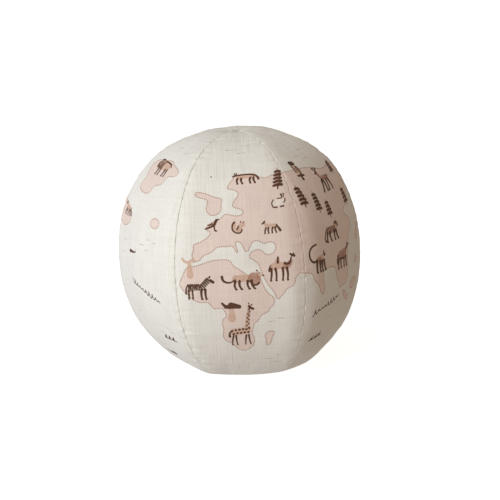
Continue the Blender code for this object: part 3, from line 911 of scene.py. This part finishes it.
def figure_fields(gore, x, along):
    """Depth in mm inside each ink of every figure whose middle is on this gore."""
    fields = {name: np.full(x.shape, NO_INK) for name in INKS}
    y = np.broadcast_to(along * MM, x.shape)
    for strokes, turn, rise, size, facing in placed_figures():
        if round(turn / GORE_DEGREES) % GORES != gore:
            continue
        rise_along = SEAM_RADIUS * radians(rise)
        local = radians((turn - GORE_DEGREES * gore + 180) % 360 - 180)
        x0 = local * float(seam_line(rise_along)[0]) * MM
        far = size * max(np.abs(stroke[3]).max() + stroke[1] for stroke in strokes) + 2
        here = np.nonzero((np.abs(x - x0) < far) & (np.abs(y - rise_along * MM) < far))
        u = (x[here] - x0) * facing / size
        v = (y[here] - rise_along * MM) / size
        for colour, start, end, places in strokes:
            depth = stroke_depth(u, v, start, end, places) * size
            fields[colour][here] = np.maximum(fields[colour][here], depth)
    return fields


# ---------------------------------------------------------------- gores

INNER_SPOTS = np.linspace(0.93, 0.07, INNER_COLUMNS)


def gore_rings(gore, field, look):
    """Rings of one gore's cloth as a closed shell, its flat cloth and its outer columns.

    Each ring runs along the outside from one seam allowance, round a fold of a quarter
    circle, over the face, round the other fold and down the other allowance, then back
    inside at the cloth's thickness. E is the face's edge, N the cover's normal and T the
    way to the seam: the fold is E - fN + f(N cos a + T sin a), the allowance goes on along -N.
    """
    along = np.linspace(*seam_span(TIP_RADIUS), ROWS)[:, None]
    radius, _, out, up = seam_line(along)
    shrink = np.minimum(radius / SHRINK_RADIUS, 1)
    full_sizes = (look.fold_radius, SEAM_GAP / 2, CLOTH, SEAM_ALLOWANCE)
    fold, gap, cloth, allowance = (size * shrink for size in full_sizes)
    middle = GORE_TURN * gore
    edge = HALF_GORE - (fold + gap) / radius
    turn = middle + np.linspace(-1, 1, FACE_COLUMNS) * edge
    lift = cover_lift(gore, turn, along, field, look)
    face = cover_point(turn, along, lift)
    flat = (turn - middle) * radius
    outer = {0: (face, flat)}
    inner = {}
    bends = np.linspace(0, pi / 2, FOLD_STEPS)[1:]
    drops = np.linspace(0, 1, HEM_STEPS)[1:]
    for side, end in ((-1, 0), (1, -1)):
        seam = middle + side * HALF_GORE
        normal = out[..., None] * unit(seam)
        normal[..., 2] = up
        toward = side * sideways(seam)
        at, rim = face[:, [end]], side * edge * radius
        f, c, a = fold[..., None], cloth[..., None], allowance[..., None]
        turned = [at - f * normal + f * (normal * cos(b) + toward * sin(b)) for b in bends]
        hung = [turned[-1] - a * share * normal for share in drops]
        flats = [rim + side * fold * b for b in bends]
        flats += [flats[-1] + side * allowance * share for share in drops]
        outer[side] = (np.concatenate(turned + hung, 1), np.concatenate(flats, 1))
        bend = pi / 4
        halfway = at - f * normal + (f - c) * (normal * cos(bend) + toward * sin(bend))
        within = [at - c * normal, halfway, turned[-1] - c * toward, hung[-1] - c * toward]
        places = [rim, rim + side * fold * bend, flats[len(bends) - 1], flats[-1]]
        inner[side] = (np.concatenate(within, 1), np.concatenate(places, 1))
    spots = np.round(INNER_SPOTS * (FACE_COLUMNS - 1)).astype(int)
    inside = cover_point(turn[:, spots], along, lift[:, spots] - cloth)
    parts = [(outer[-1][0][:, ::-1], outer[-1][1][:, ::-1]), outer[0], outer[1],
             (inner[1][0][:, ::-1], inner[1][1][:, ::-1]), (inside, flat[:, spots]), inner[-1]]
    rings = np.concatenate([part[0] for part in parts], 1)
    flats = np.concatenate([part[1] for part in parts], 1)
    shown = sum(part[0].shape[1] for part in parts[:3])
    return rings, flats, along, radius, shown


def flat_area():
    """Area of one gore as it is cut: its width and both allowances, summed up the seam."""
    along = np.linspace(SEAM[0][0], SEAM[0][-1], 2000)
    width = GORE_TURN * seam_line(along)[0] + 2 * SEAM_ALLOWANCE
    return float(width.mean() * (along[-1] - along[0]))


def make_gore(gore, field, look, finish):
    """One gore of printed cloth with its folds and allowances."""
    rings, flats, along, radius, shown = gore_rings(gore, field, look)
    uv = np.stack([flats + CUT_APART * gore, np.broadcast_to(along, flats.shape) + CUT_APART], -1)
    face = flats[:, :shown]
    land, run = land_fields(GORE_TURN * gore + face / radius, along, radius)
    fields = {"land": land, "run": run, **figure_fields(gore, face * MM, along)}
    for name, values in fields.items():
        fields[name] = np.full(flats.shape, NO_INK)
        fields[name][:, :shown] = values
    piece = loft(f"gore_cloth_{gore + 1}", rings, uv=uv.reshape(-1, 2), fields=fields)
    sew_in(piece, finish, "printed_cotton", f"gore_panel_{gore + 1}")
    length = float(SEAM[0][-1] - SEAM[0][0])
    flat_area()


# ---------------------------------------------------------------- stitching

LADDER = [along_at_height(float(corner[2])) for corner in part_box("closing_thread")]
CLOSING_SEAM = 3
STITCH_TIP = 0.004
STITCH_STEPS = 10
STITCH_SWING = 0.00032
THREAD_DEPTH = 0.00062
THREAD_REST = 0.0004
THREAD_SIDES = 6
# The hand-sewn rungs: outside the cloth in the groove, diving into it on both sides
RUNG_STEPS = 16
RUNG_SWING = 0.0012
RUNG_LIFT = 0.00036
RUNG_DIVE = 0.00085
LADDER_THICKNESS = 1.6  # times the machine thread's


def seam_point(seam, along, depth, aside, field, look):
    """Points under the groove of a seam: down the cover's normal by depth and across by aside."""
    turn = GORE_TURN * (seam + 0.5) + 0 * along
    lift = cover_lift(seam, turn, along, field, look) - depth
    return cover_point(turn, along, lift) + aside[:, None] * sideways(turn)


def wave(share):
    """A triangle wave between -1 and 1 with softened corners: arcsin(k sin) over arcsin k."""
    corner = 0.97
    return np.arcsin(corner * np.sin(tau * share)) / np.arcsin(corner)


def make_thread(name, node, path, radius, finish):
    """A sewing thread along a path, standing for the frame's plain thread."""
    piece = loft(name, tube(path, radius, THREAD_SIDES), uv=tube_uv(path, THREAD_SIDES))
    sew_in(piece, finish, "sewing_thread", node)


def seam_runs():
    """Each machine-sewn stretch: name, frame node, seam, and where it starts and ends."""
    low, high = seam_span(STITCH_TIP)
    lower, upper = LADDER
    for seam in range(GORES):
        if seam == CLOSING_SEAM:
            yield "stitching_4_lower", "seam_thread_4_lower", seam, low, lower - THREAD_REST
            yield "stitching_4_upper", "seam_thread_4_upper", seam, upper + THREAD_REST, high
        else:
            yield f"stitching_{seam + 1}", f"seam_thread_{seam + 1}", seam, low, high


# ---------------------------------------------------------------- pole tacks

TACK_RADIUS = 0.0024
TACK_LOBES = 7
TACK_YARN = 0.00022
TACK_SIDES = 7
TACK_STEPS = 560
TACK_REST = 0.00020
TACK_WANDER = 0.00015
TACK_HEAP = 0.00040  # how much higher the yarn lies over the middle than at its loops


def star(top):
    """A hand-sewn star over a pole: the line p = R cos(7t/2) wound round the middle.

    It lies on the dimpled cloth, and each pass crosses the middle a little above the last.
    """
    t = np.linspace(0, 2 * tau, TACK_STEPS, endpoint=False)
    reach = np.cos(TACK_LOBES * t / 2)
    flat = TACK_RADIUS * reach
    centre = float(SEAM[2][-1] if top else SEAM[2][0])
    down = 1 if top else -1
    rise = -POLE_DIMPLE * np.exp(-((flat / POLE_REACH) ** 2)) + TACK_HEAP * (1 - reach**2)
    rise += TACK_REST + TACK_WANDER * np.sin(5 * t)
    path = np.stack([flat * np.cos(t), flat * np.sin(t), centre + down * rise], 1)
    return tube(path, TACK_YARN, TACK_SIDES, closed=True, start=(0, 0, 1)), tube_uv(path, TACK_SIDES)


# ---------------------------------------------------------------- filling

FILLING_TIP = 0.0095
FILLING_DEPTH = 0.0023
FILLING_VALLEY = 0.0068
FILLING_LUMPS = 0.0004
VALLEY_WIDTH = 0.0021
FILLING_ROWS = 150
FILLING_TURNS = 432


def filling_rings():
    """The wad of fibre: the cover's form sunk by a depth, with a valley under every seam.

    Depth is d + v exp(-(a/w)^4), with a the way across to the nearest seam, plus a soft
    unevenness of seven plane waves.
    """
    along = np.linspace(*seam_span(FILLING_TIP), FILLING_ROWS)[:, None]
    turn = tau * np.arange(FILLING_TURNS)[None] / FILLING_TURNS
    radius, height, _, up = seam_line(along)
    away = (HALF_GORE - np.abs(from_middle(turn))) * radius
    depth = FILLING_DEPTH + FILLING_VALLEY * np.exp(-((away / VALLEY_WIDTH) ** 4))
    depth = depth + FILLING_LUMPS * (1 + stuffing_lumps(turn * 3, along * 4))
    points = cover_point(turn, along, -depth)
    points[..., 2] = height - depth * up
    return points


# ---------------------------------------------------------------- care label

LABEL_UP = np.array(JOINT["axis"]) / np.linalg.norm(JOINT["axis"])
RIBBON = 0.00022
RIBBON_APART = 0.00055
RIBBON_RIPPLE = 0.00025
RIBBON_COLUMNS = 25
LABEL_ROWS = 70
LABEL_CURL = 0.22
CURL_REACH = (0.006, 0.016)
LABEL_SUNK = 0.0045
LABEL_BEND = (-0.0008, 0.0016)  # the ribbon turns over between these places from its root
BLEND_REACH = (-0.0015, 0.0013)


def label_rings(look):
    """A ribbon folded into a loop: a hairpin line with thickness, carried across its width.

    The hairpin's middle leans from the cover's normal by an angle that grows smoothly where
    it leaves the seam, then curls a little more to its end.
    """
    _, _, out, up = seam_line(LABEL_ALONG)
    normal = out * unit(LABEL_TURN) + np.array([0, 0, up])
    aside = sideways(LABEL_TURN)
    s = np.linspace(-LABEL_SUNK, look.length, LABEL_ROWS)
    lean = radians(look.lean) * smooth(*LABEL_BEND, s) + LABEL_CURL * smooth(*CURL_REACH, s)
    go = np.stack([np.cos(lean), np.sin(lean)], 1)
    line = np.cumsum(go * (s[1] - s[0]), 0)
    line -= [np.interp(0, s, line[:, 0]), np.interp(0, s, line[:, 1])]
    across = np.stack([-go[:, 1], go[:, 0]], 1)
    opening = RIBBON_APART * (0.25 + 0.75 * smooth(0, look.length, s)) / 2 + RIBBON * 0.6
    offset = across * opening[:, None]
    ends = np.linspace(0, pi, 9)[1:-1, None]
    tip = line[-1] + opening[-1] * (across[-1] * np.cos(ends) + go[-1] * np.sin(ends))
    hairpin = np.concatenate([line + offset, tip, (line - offset)[::-1]])
    facing = np.gradient(hairpin, axis=0)
    facing = np.stack([facing[:, 1], -facing[:, 0]], 1) / np.linalg.norm(facing, axis=1, keepdims=True)
    outline = np.concatenate([hairpin + facing * RIBBON / 2, (hairpin - facing * RIBBON / 2)[::-1]])
    wide = np.linspace(-1, 1, RIBBON_COLUMNS)[:, None]
    grown = smooth(0, look.length, np.hypot(*outline.T))[None]
    ripple = RIBBON_RIPPLE * np.sin(2.2 * wide + 0.6) * grown
    base = LABEL_ROOT + wide[..., None] * look.width / 2 * LABEL_UP
    rings = base + outline[None, :, :1] * normal + (outline[None, :, 1:] + ripple[..., None]) * aside
    way = way_along(hairpin)
    u = np.concatenate([way, way[::-1]])
    uv = np.stack(np.broadcast_arrays(u[None], wide * look.width / 2), -1).reshape(-1, 2)
    return rings, uv, float(way[-1]), normal


# ---------------------------------------------------------------- materials

class Number:
    """A number socket of a material. Working with it in an expression adds Math nodes."""

    def __init__(self, tree, socket):
        self.tree = tree
        self.socket = socket

    def math(self, operation, *values):
        """One Math node of these values, which are numbers or Number sockets."""
        node = self.tree.nodes.new("ShaderNodeMath")
        node.operation = operation
        for slot, value in zip(node.inputs, values):
            if isinstance(value, Number):
                self.tree.links.new(value.socket, slot)
            else:
                slot.default_value = value
        return Number(self.tree, node.outputs[0])

    def __add__(self, other):
        return self.math("ADD", self, other)

    def __sub__(self, other):
        return self.math("SUBTRACT", self, other)

    def __mul__(self, other):
        return self.math("MULTIPLY", self, other)

    def __truediv__(self, other):
        return self.math("DIVIDE", self, other)

    def __rsub__(self, other):
        return self.math("SUBTRACT", other, self)

    __radd__ = __add__
    __rmul__ = __mul__

    def sine(self):
        """The sine of an angle in radians."""
        return self.math("SINE", self)

    def root(self):
        """The square root."""
        return self.math("SQRT", self)

    def fraction(self):
        """What is left above the whole number below."""
        return self.math("FRACT", self)


class Nodes:
    """A node tree being filled. Every node that isn't Math is made by node()."""

    def __init__(self, tree):
        self.tree = tree

    def node(self, kind, settings=None, inputs=None):
        """A node of a type, with its settings made first and then its inputs set or linked."""
        node = self.tree.nodes.new(kind)
        for key, value in (settings or {}).items():
            setattr(node, key, value)
        for key, value in (inputs or {}).items():
            if isinstance(value, Number):
                value = value.socket
            if isinstance(value, bpy.types.NodeSocket):
                self.tree.links.new(value, node.inputs[key])
            else:
                node.inputs[key].default_value = value
        return node

    def parts(self, vector):
        """The x, y and z of a vector socket."""
        split = self.node("ShaderNodeSeparateXYZ", None, {0: vector})
        return [Number(self.tree, part) for part in split.outputs]

    def attribute(self, name):
        """The value of one of the piece's own attributes."""
        made = self.node("ShaderNodeAttribute", {"attribute_name": name})
        return Number(self.tree, made.outputs["Fac"])

    def flat_place(self):
        """x and y of the piece's own map, each scaled from metres to millimetres."""
        x, y, _ = self.parts(self.node("ShaderNodeUVMap", {"uv_map": "cloth"}).outputs[0])
        return x * MM, y * MM

    def noise(self, x, y, z=0.0, detail=2.0):
        """Noise from 0 to 1 at a place given by numbers, with features about 1 across."""
        place = self.node("ShaderNodeCombineXYZ", None, {0: x, 1: y, 2: z}).outputs[0]
        made = self.node("ShaderNodeTexNoise", {"noise_dimensions": "3D"},
                         {"Vector": place, "Scale": 1.0, "Detail": detail})
        return Number(self.tree, made.outputs[0])

    def step(self, value, low, high):
        """0 below low, 1 above high, with a smooth step between."""
        made = self.node("ShaderNodeMapRange", {"interpolation_type": "SMOOTHSTEP"},
                         {0: value, 1: low, 2: high})
        return Number(self.tree, made.outputs[0])

    def mix(self, factor, first, second):
        """One colour over another by a factor."""
        made = self.node("ShaderNodeMix", {"data_type": "RGBA"}, {0: factor, 6: first, 7: second})
        return made.outputs[2]

    def shade(self, colour, factor):
        """A colour made lighter or darker by a number."""
        grey = self.node("ShaderNodeCombineColor", None, {0: factor, 1: factor, 2: factor}).outputs[0]
        made = self.node("ShaderNodeMix", {"data_type": "RGBA", "blend_type": "MULTIPLY"},
                         {0: 1.0, 6: colour, 7: grey})
        return made.outputs[2]


class Finish(Nodes):
    """A material being made. Sockets of its shader that stay even are set straight away."""

    def __init__(self, name, **even):
        self.material = bpy.data.materials.new(name)
        self.material.use_nodes = True
        super().__init__(self.material.node_tree)
        self.shader = self.tree.nodes["Principled BSDF"]
        for key, value in even.items():
            socket = key.replace("_", " ").title().replace("Ior", "IOR")
            self.shader.inputs[socket].default_value = value

    def finish(self, colour, roughness, height, distance):
        """Joins the varying colour, roughness and bump height to the shader."""
        bump = self.node("ShaderNodeBump", None, {"Strength": 1.0, "Distance": distance, "Height": height})
        self.tree.links.new(colour, self.shader.inputs["Base Color"])
        self.tree.links.new(roughness.socket, self.shader.inputs["Roughness"])
        self.tree.links.new(bump.outputs[0], self.shader.inputs["Normal"])
        return self.material


def rgba(colour):
    """A colour with its alpha."""
    return (*colour, 1.0)


def cotton_finish(cover, dye):
    """Slubby plain-weave cotton with its print laid over it.

    Weave height is 1/2 + 1/2 sin(x) sin(y) at the thread pitch. Long noise along x and y
    makes thick and thin threads. Each ink shows where its depth field, roughened by a fine
    noise, is above zero; the coast is dots at an even pitch along the way round it.
    """
    f = Finish("printed cotton", specular_ior_level=0.12, sheen_weight=0.07, sheen_roughness=0.45)
    x, y = f.flat_place()
    turns = tau / (cover.thread_pitch * MM)
    weave_crown_and_shade = (x * turns).sine() * (y * turns).sine() * 0.5 + 0.5
    warp = f.noise(x / 1.05, y / 21, 3.1)
    weft = f.noise(x / 19, y / 1.0, 7.7)
    thick_warp = f.step(f.noise(x / 0.95, y / 26, 11.0, 1.0), 0.60, 0.74)
    thick_weft = f.step(f.noise(x / 24, y / 0.9, 17.0, 1.0), 0.63, 0.76)
    mottle = f.noise(x / 9, y / 9, 23.0)
    ragged = (f.noise(x / 0.42, y / 0.42, 31.0) - 0.5) * 0.24
    bloom = f.noise(x / 2.6, y / 2.6, 43.0)

    land = f.attribute("land")
    on_land = f.step(land + ragged * 0.6, -0.12, 0.12)
    colour = f.mix(on_land * (bloom * 0.25 + 0.85), rgba(dye.sea), rgba(dye.land))
    beside = ((f.attribute("run") / dye.dot_pitch_mm).fraction() - 0.5) * dye.dot_pitch_mm
    dot = 1 - f.step((beside * beside + land * land).root() + ragged * 0.3, 0.24, 0.48)
    colour = f.mix(dot * 0.92, colour, rgba(dye.coast))
    washy = bloom * 0.7 + 0.62
    for name, dyed, opacity, soft in (
            ("pale", dye.sea, 0.55, 0.16), ("tan", dye.tan, washy * 0.80, 0.16),
            ("rust", dye.rust, washy * 0.88, 0.16), ("fine", dye.coast, 0.75, 0.09),
            ("ink", dye.ink, 0.985, 0.09)):
        laid = f.step(f.attribute(name) + ragged, -soft, soft) * opacity
        colour = f.mix(laid, colour, rgba(dyed))
    threads = 0.79 + warp * 0.22 + weft * 0.12 + mottle * 0.05 - thick_warp * 0.02 - thick_weft * 0.02
    # Painted shade: the colour is a little lighter on the crowns of the weave and darker between the
    # threads.
    colour = f.shade(colour, threads + weave_crown_and_shade * 0.03)
    height = weave_crown_and_shade * 0.45 + warp * 0.55 + weft * 0.5 + thick_warp * 0.6 + thick_weft * 0.5
    return f.finish(colour, 0.84 + mottle * 0.1, height, cover.weave_depth)


def thread_finish(look):
    """Twisted sewing thread: strands as a sine of the way along plus the turn round it."""
    f = Finish("sewing thread", specular_ior_level=0.35, sheen_weight=0.3, sheen_roughness=0.4)
    along, round_it = f.flat_place()
    round_it = round_it / MM
    strand = (along * (tau / 0.75) + round_it * tau).sine() * 0.5 + 0.5
    fuzz = f.noise(along / 0.3, round_it * 6, 2.0)
    # Painted shade: the colour is lighter on the crest of each strand and darker in the grooves of the
    # twist.
    colour = f.shade(rgba(look.colour), 0.70 + strand * 0.22 + fuzz * 0.12)
    return f.finish(colour, 0.7 + fuzz * 0.2, strand + fuzz * 0.5, 0.00006)


def satin_finish(look):
    """Satin ribbon: fine ribs across the ribbon, firm woven edges and a soft gloss."""
    f = Finish("satin ribbon", specular_ior_level=0.5, sheen_weight=0.15, sheen_roughness=0.3)
    along, across = f.flat_place()
    rib = (along * (tau / 0.22)).sine() * 0.5 + 0.5
    float_line = f.noise(along / 3.2, across / 0.16, 5.0)
    half = look.width * MM / 2
    selvedge = f.step(across.math("ABSOLUTE", across), half - 0.9, half - 0.6)
    painted_crease_shade = f.noise(along / 4.0, across / 6.0, 9.0)
    # Painted shade: a broad noise darkens and lightens the ribbon's colour as soft creases would, though
    # its shape has none.
    colour = f.shade(rgba(look.colour), 0.88 + float_line * 0.10 + painted_crease_shade * 0.06 - selvedge * 0.07)
    height = rib * 0.5 + float_line * 0.6 + selvedge * 0.9
    return f.finish(colour, 0.34 + float_line * 0.14 + selvedge * 0.2, height, 0.00004)


def fibre_finish():
    """White carded fibre: tangled strands as stretched noise at two scales."""
    f = Finish("polyester fibre", specular_ior_level=0.2, sheen_weight=0.4, sheen_roughness=0.5)
    x, y, z = (part * MM for part in f.parts(f.node("ShaderNodeTexCoord").outputs["Object"]))
    strands = f.noise(x / 3, y / 3, z * 2.0, 4.0)
    clumps = f.noise(x / 14, y / 14, z / 14, 2.0)
    colour = f.shade(rgba((0.86, 0.86, 0.85)), 0.82 + strands * 0.16 + clumps * 0.1)
    return f.finish(colour, 0.85 + strands * 0.1, strands + clumps, 0.0006)


# ---------------------------------------------------------------- settings

def tone(name, description, value):
    """A setting that holds a colour."""
    return FloatVectorProperty(name=name, description=description, default=value, size=3, min=0, max=1,
                               subtype="COLOR")


def metres(name, description, value, high):
    """A setting that holds a length in metres."""
    return FloatProperty(name=name, description=description, default=value, min=0, max=high,
                         unit="LENGTH", precision=5)


class CoverSettings(bpy.types.PropertyGroup):
    """Relief and weave of the cover."""

    seam_pull: metres("Seam pull", "How deep a seam draws the cloth in", 0.00028, 0.003)
    fold_radius: metres("Fold radius", "Radius of the cloth's fold into a seam", 0.00040, 0.002)
    pucker_height: metres("Pucker height", "Height of the ripples beside a seam", 0.00030, 0.001)
    lump_height: metres("Lump height", "Unevenness of the filling under the cloth", 0.00075, 0.003)
    thread_pitch: metres("Thread pitch", "Distance between two threads over one under", 0.00072, 0.003)
    weave_depth: metres("Weave depth", "Height of the threads and slubs", 0.00011, 0.001)


class PrintSettings(bpy.types.PropertyGroup):
    """Colours of the print."""

    sea: tone("Sea", "Undyed cloth", (0.80, 0.768, 0.685))
    land: tone("Land", "Tint of the land", (0.775, 0.628, 0.54))
    coast: tone("Coast", "Dots along the coasts and thin marks", (0.36, 0.17, 0.10))
    tan: tone("Tan", "Light ink of the figures", (0.60, 0.375, 0.255))
    rust: tone("Rust", "Middle ink of the figures", (0.40, 0.205, 0.14))
    ink: tone("Ink", "Dark ink of the figures", (0.098, 0.042, 0.022))
    dot_pitch_mm: FloatProperty(name="Dot pitch", description="Millimetres between two coast dots",
                                default=1.12, min=0.3, max=3)


class StitchSettings(bpy.types.PropertyGroup):
    """Sewing thread."""

    thickness: metres("Thread radius", "Radius of the seam thread", 0.00017, 0.001)
    pitch: metres("Stitch pitch", "Length of one machine stitch and its return", 0.0050, 0.02)
    rung_pitch: metres("Rung pitch", "Distance between two rungs of the closing stitch", 0.0030, 0.01)
    colour: tone("Colour", "Thread colour", (0.78, 0.74, 0.66))


class LabelSettings(bpy.types.PropertyGroup):
    """Blank ribbon label sewn into a seam."""

    width: metres("Width", "Width of the ribbon", 0.0120, 0.03)
    length: metres("Length", "Length of the folded loop", 0.0157, 0.04)
    lean: FloatProperty(name="Lean", description="Degrees from standing straight out of the seam",
                        default=55, min=0, max=90)
    colour: tone("Colour", "Ribbon colour", (0.82, 0.81, 0.78))


class StageSettings(bpy.types.PropertyGroup):
    """Floor, lights and camera."""

    floor: tone("Floor", "Colour of the floor", (0.80, 0.80, 0.80))
    key_power: FloatProperty(name="Key power", description="Power of the soft side light", default=14.3,
                             min=0, max=200, unit="POWER")
    fill: FloatProperty(name="Fill", description="Strength of the light from all round", default=1.0,
                        min=0, max=5)
    left_fill: tone("Left fill", "Colour of the light from the left", (0.369, 0.385, 0.417))
    right_fill: tone("Right fill", "Colour of the light from the right", (0.208, 0.150, 0.098))
    distance: metres("Camera distance", "From the ball's middle to the camera", 0.90, 5)
    focal: FloatProperty(name="Focal length", description="Focal length in millimetres", default=103.5,
                         min=10, max=300)


# ---------------------------------------------------------------- operators

class BALL_OT_cover(bpy.types.Operator):
    """Make the six printed gores"""

    bl_idname = "ball.cover"
    bl_label = "Cover"

    def execute(self, context):
        look, field = context.scene.ball_cover, inflation()
        finish = cotton_finish(look, context.scene.ball_print)
        for gore in range(GORES):
            make_gore(gore, field, look, finish)
        return {"FINISHED"}


class BALL_OT_stitching(bpy.types.Operator):
    """Sew the six seams and close the stuffing opening by hand"""

    bl_idname = "ball.stitching"
    bl_label = "Stitching"

    def execute(self, context):
        cover, look, field = context.scene.ball_cover, context.scene.ball_stitch, inflation()
        finish = thread_finish(look)
        for name, node, seam, start, end in seam_runs():
            along = np.arange(start, end, look.pitch / STITCH_STEPS)
            aside = STITCH_SWING * wave(along / look.pitch)
            path = seam_point(seam, along, THREAD_DEPTH, aside, field, cover)
            make_thread(name, node, path, look.thickness, finish)
        along = np.arange(*LADDER, look.rung_pitch / RUNG_STEPS)
        swing = wave(along / (2 * look.rung_pitch))
        depth = RUNG_DIVE * np.abs(swing) ** 3 - RUNG_LIFT
        path = seam_point(CLOSING_SEAM, along, depth, RUNG_SWING * swing, field, cover)
        make_thread("ladder_stitch", "closing_thread", path, look.thickness * LADDER_THICKNESS, finish)
        return {"FINISHED"}


class BALL_OT_tacks(bpy.types.Operator):
    """Sew the stars of thread over both poles"""

    bl_idname = "ball.tacks"
    bl_label = "Pole tacks"

    def execute(self, context):
        finish = thread_finish(context.scene.ball_stitch)
        for pole in ("base", "top"):
            rings, uv = star(pole == "top")
            piece = loft(f"{pole}_star", rings, closed=True, uv=uv)
            sew_in(piece, finish, "sewing_thread", f"{pole}_pole_tack")
        return {"FINISHED"}


class BALL_OT_filling(bpy.types.Operator):
    """Stuff the ball with fibre"""

    bl_idname = "ball.filling"
    bl_label = "Filling"

    def execute(self, context):
        piece = loft("fibre_wad", filling_rings())
        sew_in(piece, fibre_finish(), "polyester_fibre", "fibre_filling")
        return {"FINISHED"}


class BALL_OT_label(bpy.types.Operator):
    """Sew the blank label into its seam"""

    bl_idname = "ball.label"
    bl_label = "Label"

    def execute(self, context):
        look = context.scene.ball_label
        rings, uv, length, normal = label_rings(look)
        piece = loft("folded_label", rings, uv=uv)
        piece.data.materials.append(satin_finish(look))
        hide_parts("care_label")
        start, end = (tuple(LABEL_ROOT + reach * normal) for reach in BLEND_REACH)
        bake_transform(piece)
        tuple(start)
        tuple(end)
        return {"FINISHED"}


# Turn and rise of the camera and the lamp as seen from the ball's middle, in degrees
CAMERA_PLACE = (0.55, 14.0)
CAMERA_ROLL = radians(-3.0)
CAMERA_SLIDE = (0.0056, 0.0006)
LAMP_PLACE = (-40, 33)
LAMP_SIZE = 1.0
LAMP_DISTANCE = 1.6
LAMP_COLOUR = (0.96, 1.0, 1.05)
SWEEP_RADIUS = 3.2
SWEEP_BEND = 1.2
SWEEP_HEIGHT = 3.0
SWEEP_TURNS = 96
SWEEP_GLOW = 0.76


def direction(turn, rise):
    """The unit vector away from the ball at a turn and a rise in degrees."""
    turn, rise = radians(turn), radians(rise)
    return Vector((sin(turn) * cos(rise), -cos(turn) * cos(rise), sin(rise)))


def sweep_rings():
    """A studio sweep turned about Z: a flat floor, a quarter circle up and a straight wall."""
    flat = np.linspace(0.001, SWEEP_RADIUS - SWEEP_BEND, 20)
    bend = np.linspace(0, pi / 2, 24)[1:]
    out = np.concatenate([flat, flat[-1] + SWEEP_BEND * np.sin(bend), [SWEEP_RADIUS]])
    height = np.concatenate([0 * flat, SWEEP_BEND * (1 - np.cos(bend)), [SWEEP_HEIGHT]])
    turn = tau * np.arange(SWEEP_TURNS)[None] / SWEEP_TURNS
    points = unit(turn) * out[:, None, None]
    points[..., 2] = height[:, None] - 0.0001
    return points


class BALL_OT_stage(bpy.types.Operator):
    """Set up the floor, the lights and the camera"""

    bl_idname = "ball.stage"
    bl_label = "Stage"

    def execute(self, context):
        look, scene = context.scene.ball_stage, context.scene
        rings = sweep_rings()
        faces = loft_faces(*rings.shape[:2])[:, ::-1]
        floor = put_mesh("studio_sweep", rings, faces, [np.arange(SWEEP_TURNS)])
        paint = Finish("studio paint", roughness=0.9, specular_ior_level=0.1, base_color=rgba(look.floor),
                       emission_color=rgba((1, 1, 1)), emission_strength=SWEEP_GLOW)
        floor.data.materials.append(paint.material)
        floor.visible_diffuse = False
        floor.visible_shadow = False
        floor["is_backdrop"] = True
        centre = Vector((0, 0, WIDEST_HEIGHT))
        self.light(scene, centre, look)
        self.surround(scene, look)
        self.camera(scene, centre, look)
        scene.view_settings.view_transform = "Standard"
        return {"FINISHED"}

    def light(self, scene, centre, look):
        """A large soft lamp to the left and a little above."""
        lamp = bpy.data.lights.new("side_light", "AREA")
        lamp.shape = "DISK"
        lamp.size = LAMP_SIZE
        lamp.energy = look.key_power
        lamp.color = LAMP_COLOUR
        made = bpy.data.objects.new("side_light", lamp)
        away = direction(*LAMP_PLACE)
        made.location = centre + LAMP_DISTANCE * away
        made.rotation_euler = away.to_track_quat("Z", "Y").to_euler()
        scene.collection.objects.link(made)

    def surround(self, scene, look):
        """Light from all round: cool on the left, warm and weaker on the right.

        More of it comes from low down on the left and in front, and from high up on the
        right. right and up grow from 0 to 1 towards that side, and 1 - y from 0 to 2
        towards the front.
        """
        world = bpy.data.worlds.new("surround")
        world.use_nodes = True
        sky = Nodes(world.node_tree)
        x, y, z = sky.parts(sky.node("ShaderNodeTexCoord").outputs["Generated"])
        right, up = x * 0.5 + 0.5, z * 0.5 + 0.5
        below = (1 - up) * (1 - right) * ((1 - y) * 1.9 + 0.4)
        strength = (0.60 + below + up * right * 1.42) * look.fill
        shader = sky.tree.nodes["Background"]
        sky.tree.links.new(sky.mix(right, rgba(look.left_fill), rgba(look.right_fill)), shader.inputs[0])
        sky.tree.links.new(strength.socket, shader.inputs[1])
        scene.world = world

    def camera(self, scene, centre, look):
        """A long lens a little above the ball, turned and rolled slightly."""
        lens = bpy.data.cameras.new("camera")
        lens.lens = look.focal
        lens.clip_start = 0.01
        made = bpy.data.objects.new("camera", lens)
        away = direction(*CAMERA_PLACE)
        facing = away.to_track_quat("Z", "Y").to_matrix().to_4x4() @ Matrix.Rotation(CAMERA_ROLL, 4, "Z")
        slide = facing @ Vector((*CAMERA_SLIDE, 0))
        made.matrix_world = Matrix.Translation(centre + look.distance * away + slide) @ facing
        scene.collection.objects.link(made)
        scene.camera = made


class BALL_PT_pieces(bpy.types.Panel):
    """Makes the pieces of the ball one by one"""

    bl_label = "Gore ball"
    bl_space_type = "VIEW_3D"
    bl_region_type = "UI"
    bl_category = "Gore ball"

    def draw(self, context):
        for group in SETTINGS:
            settings = getattr(context.scene, group)
            box = self.layout.box()
            for name in settings.__annotations__:
                box.prop(settings, name)
        for operator in OPERATORS:
            self.layout.operator(operator.bl_idname)


SETTINGS = {"ball_cover": CoverSettings, "ball_print": PrintSettings, "ball_stitch": StitchSettings,
            "ball_label": LabelSettings, "ball_stage": StageSettings}
OPERATORS = (BALL_OT_cover, BALL_OT_stitching, BALL_OT_tacks, BALL_OT_filling, BALL_OT_label,
             BALL_OT_stage)
CLASSES = (*SETTINGS.values(), *OPERATORS, BALL_PT_pieces)


def register():
    """Adds the settings, operators and panel to Blender."""
    for item in CLASSES:
        bpy.utils.register_class(item)
    for name, group in SETTINGS.items():
        setattr(bpy.types.Scene, name, PointerProperty(type=group))


def unregister():
    """Takes them out again."""
    for name in SETTINGS:
        delattr(bpy.types.Scene, name)
    for item in reversed(CLASSES):
        bpy.utils.unregister_class(item)


def main():
    """Makes every piece and the stage."""
    register()
    bpy.ops.ball.cover()
    bpy.ops.ball.stitching()
    bpy.ops.ball.tacks()
    bpy.ops.ball.filling()
    bpy.ops.ball.label()
    bpy.ops.ball.stage()


if __name__ == "__main__":
    main()
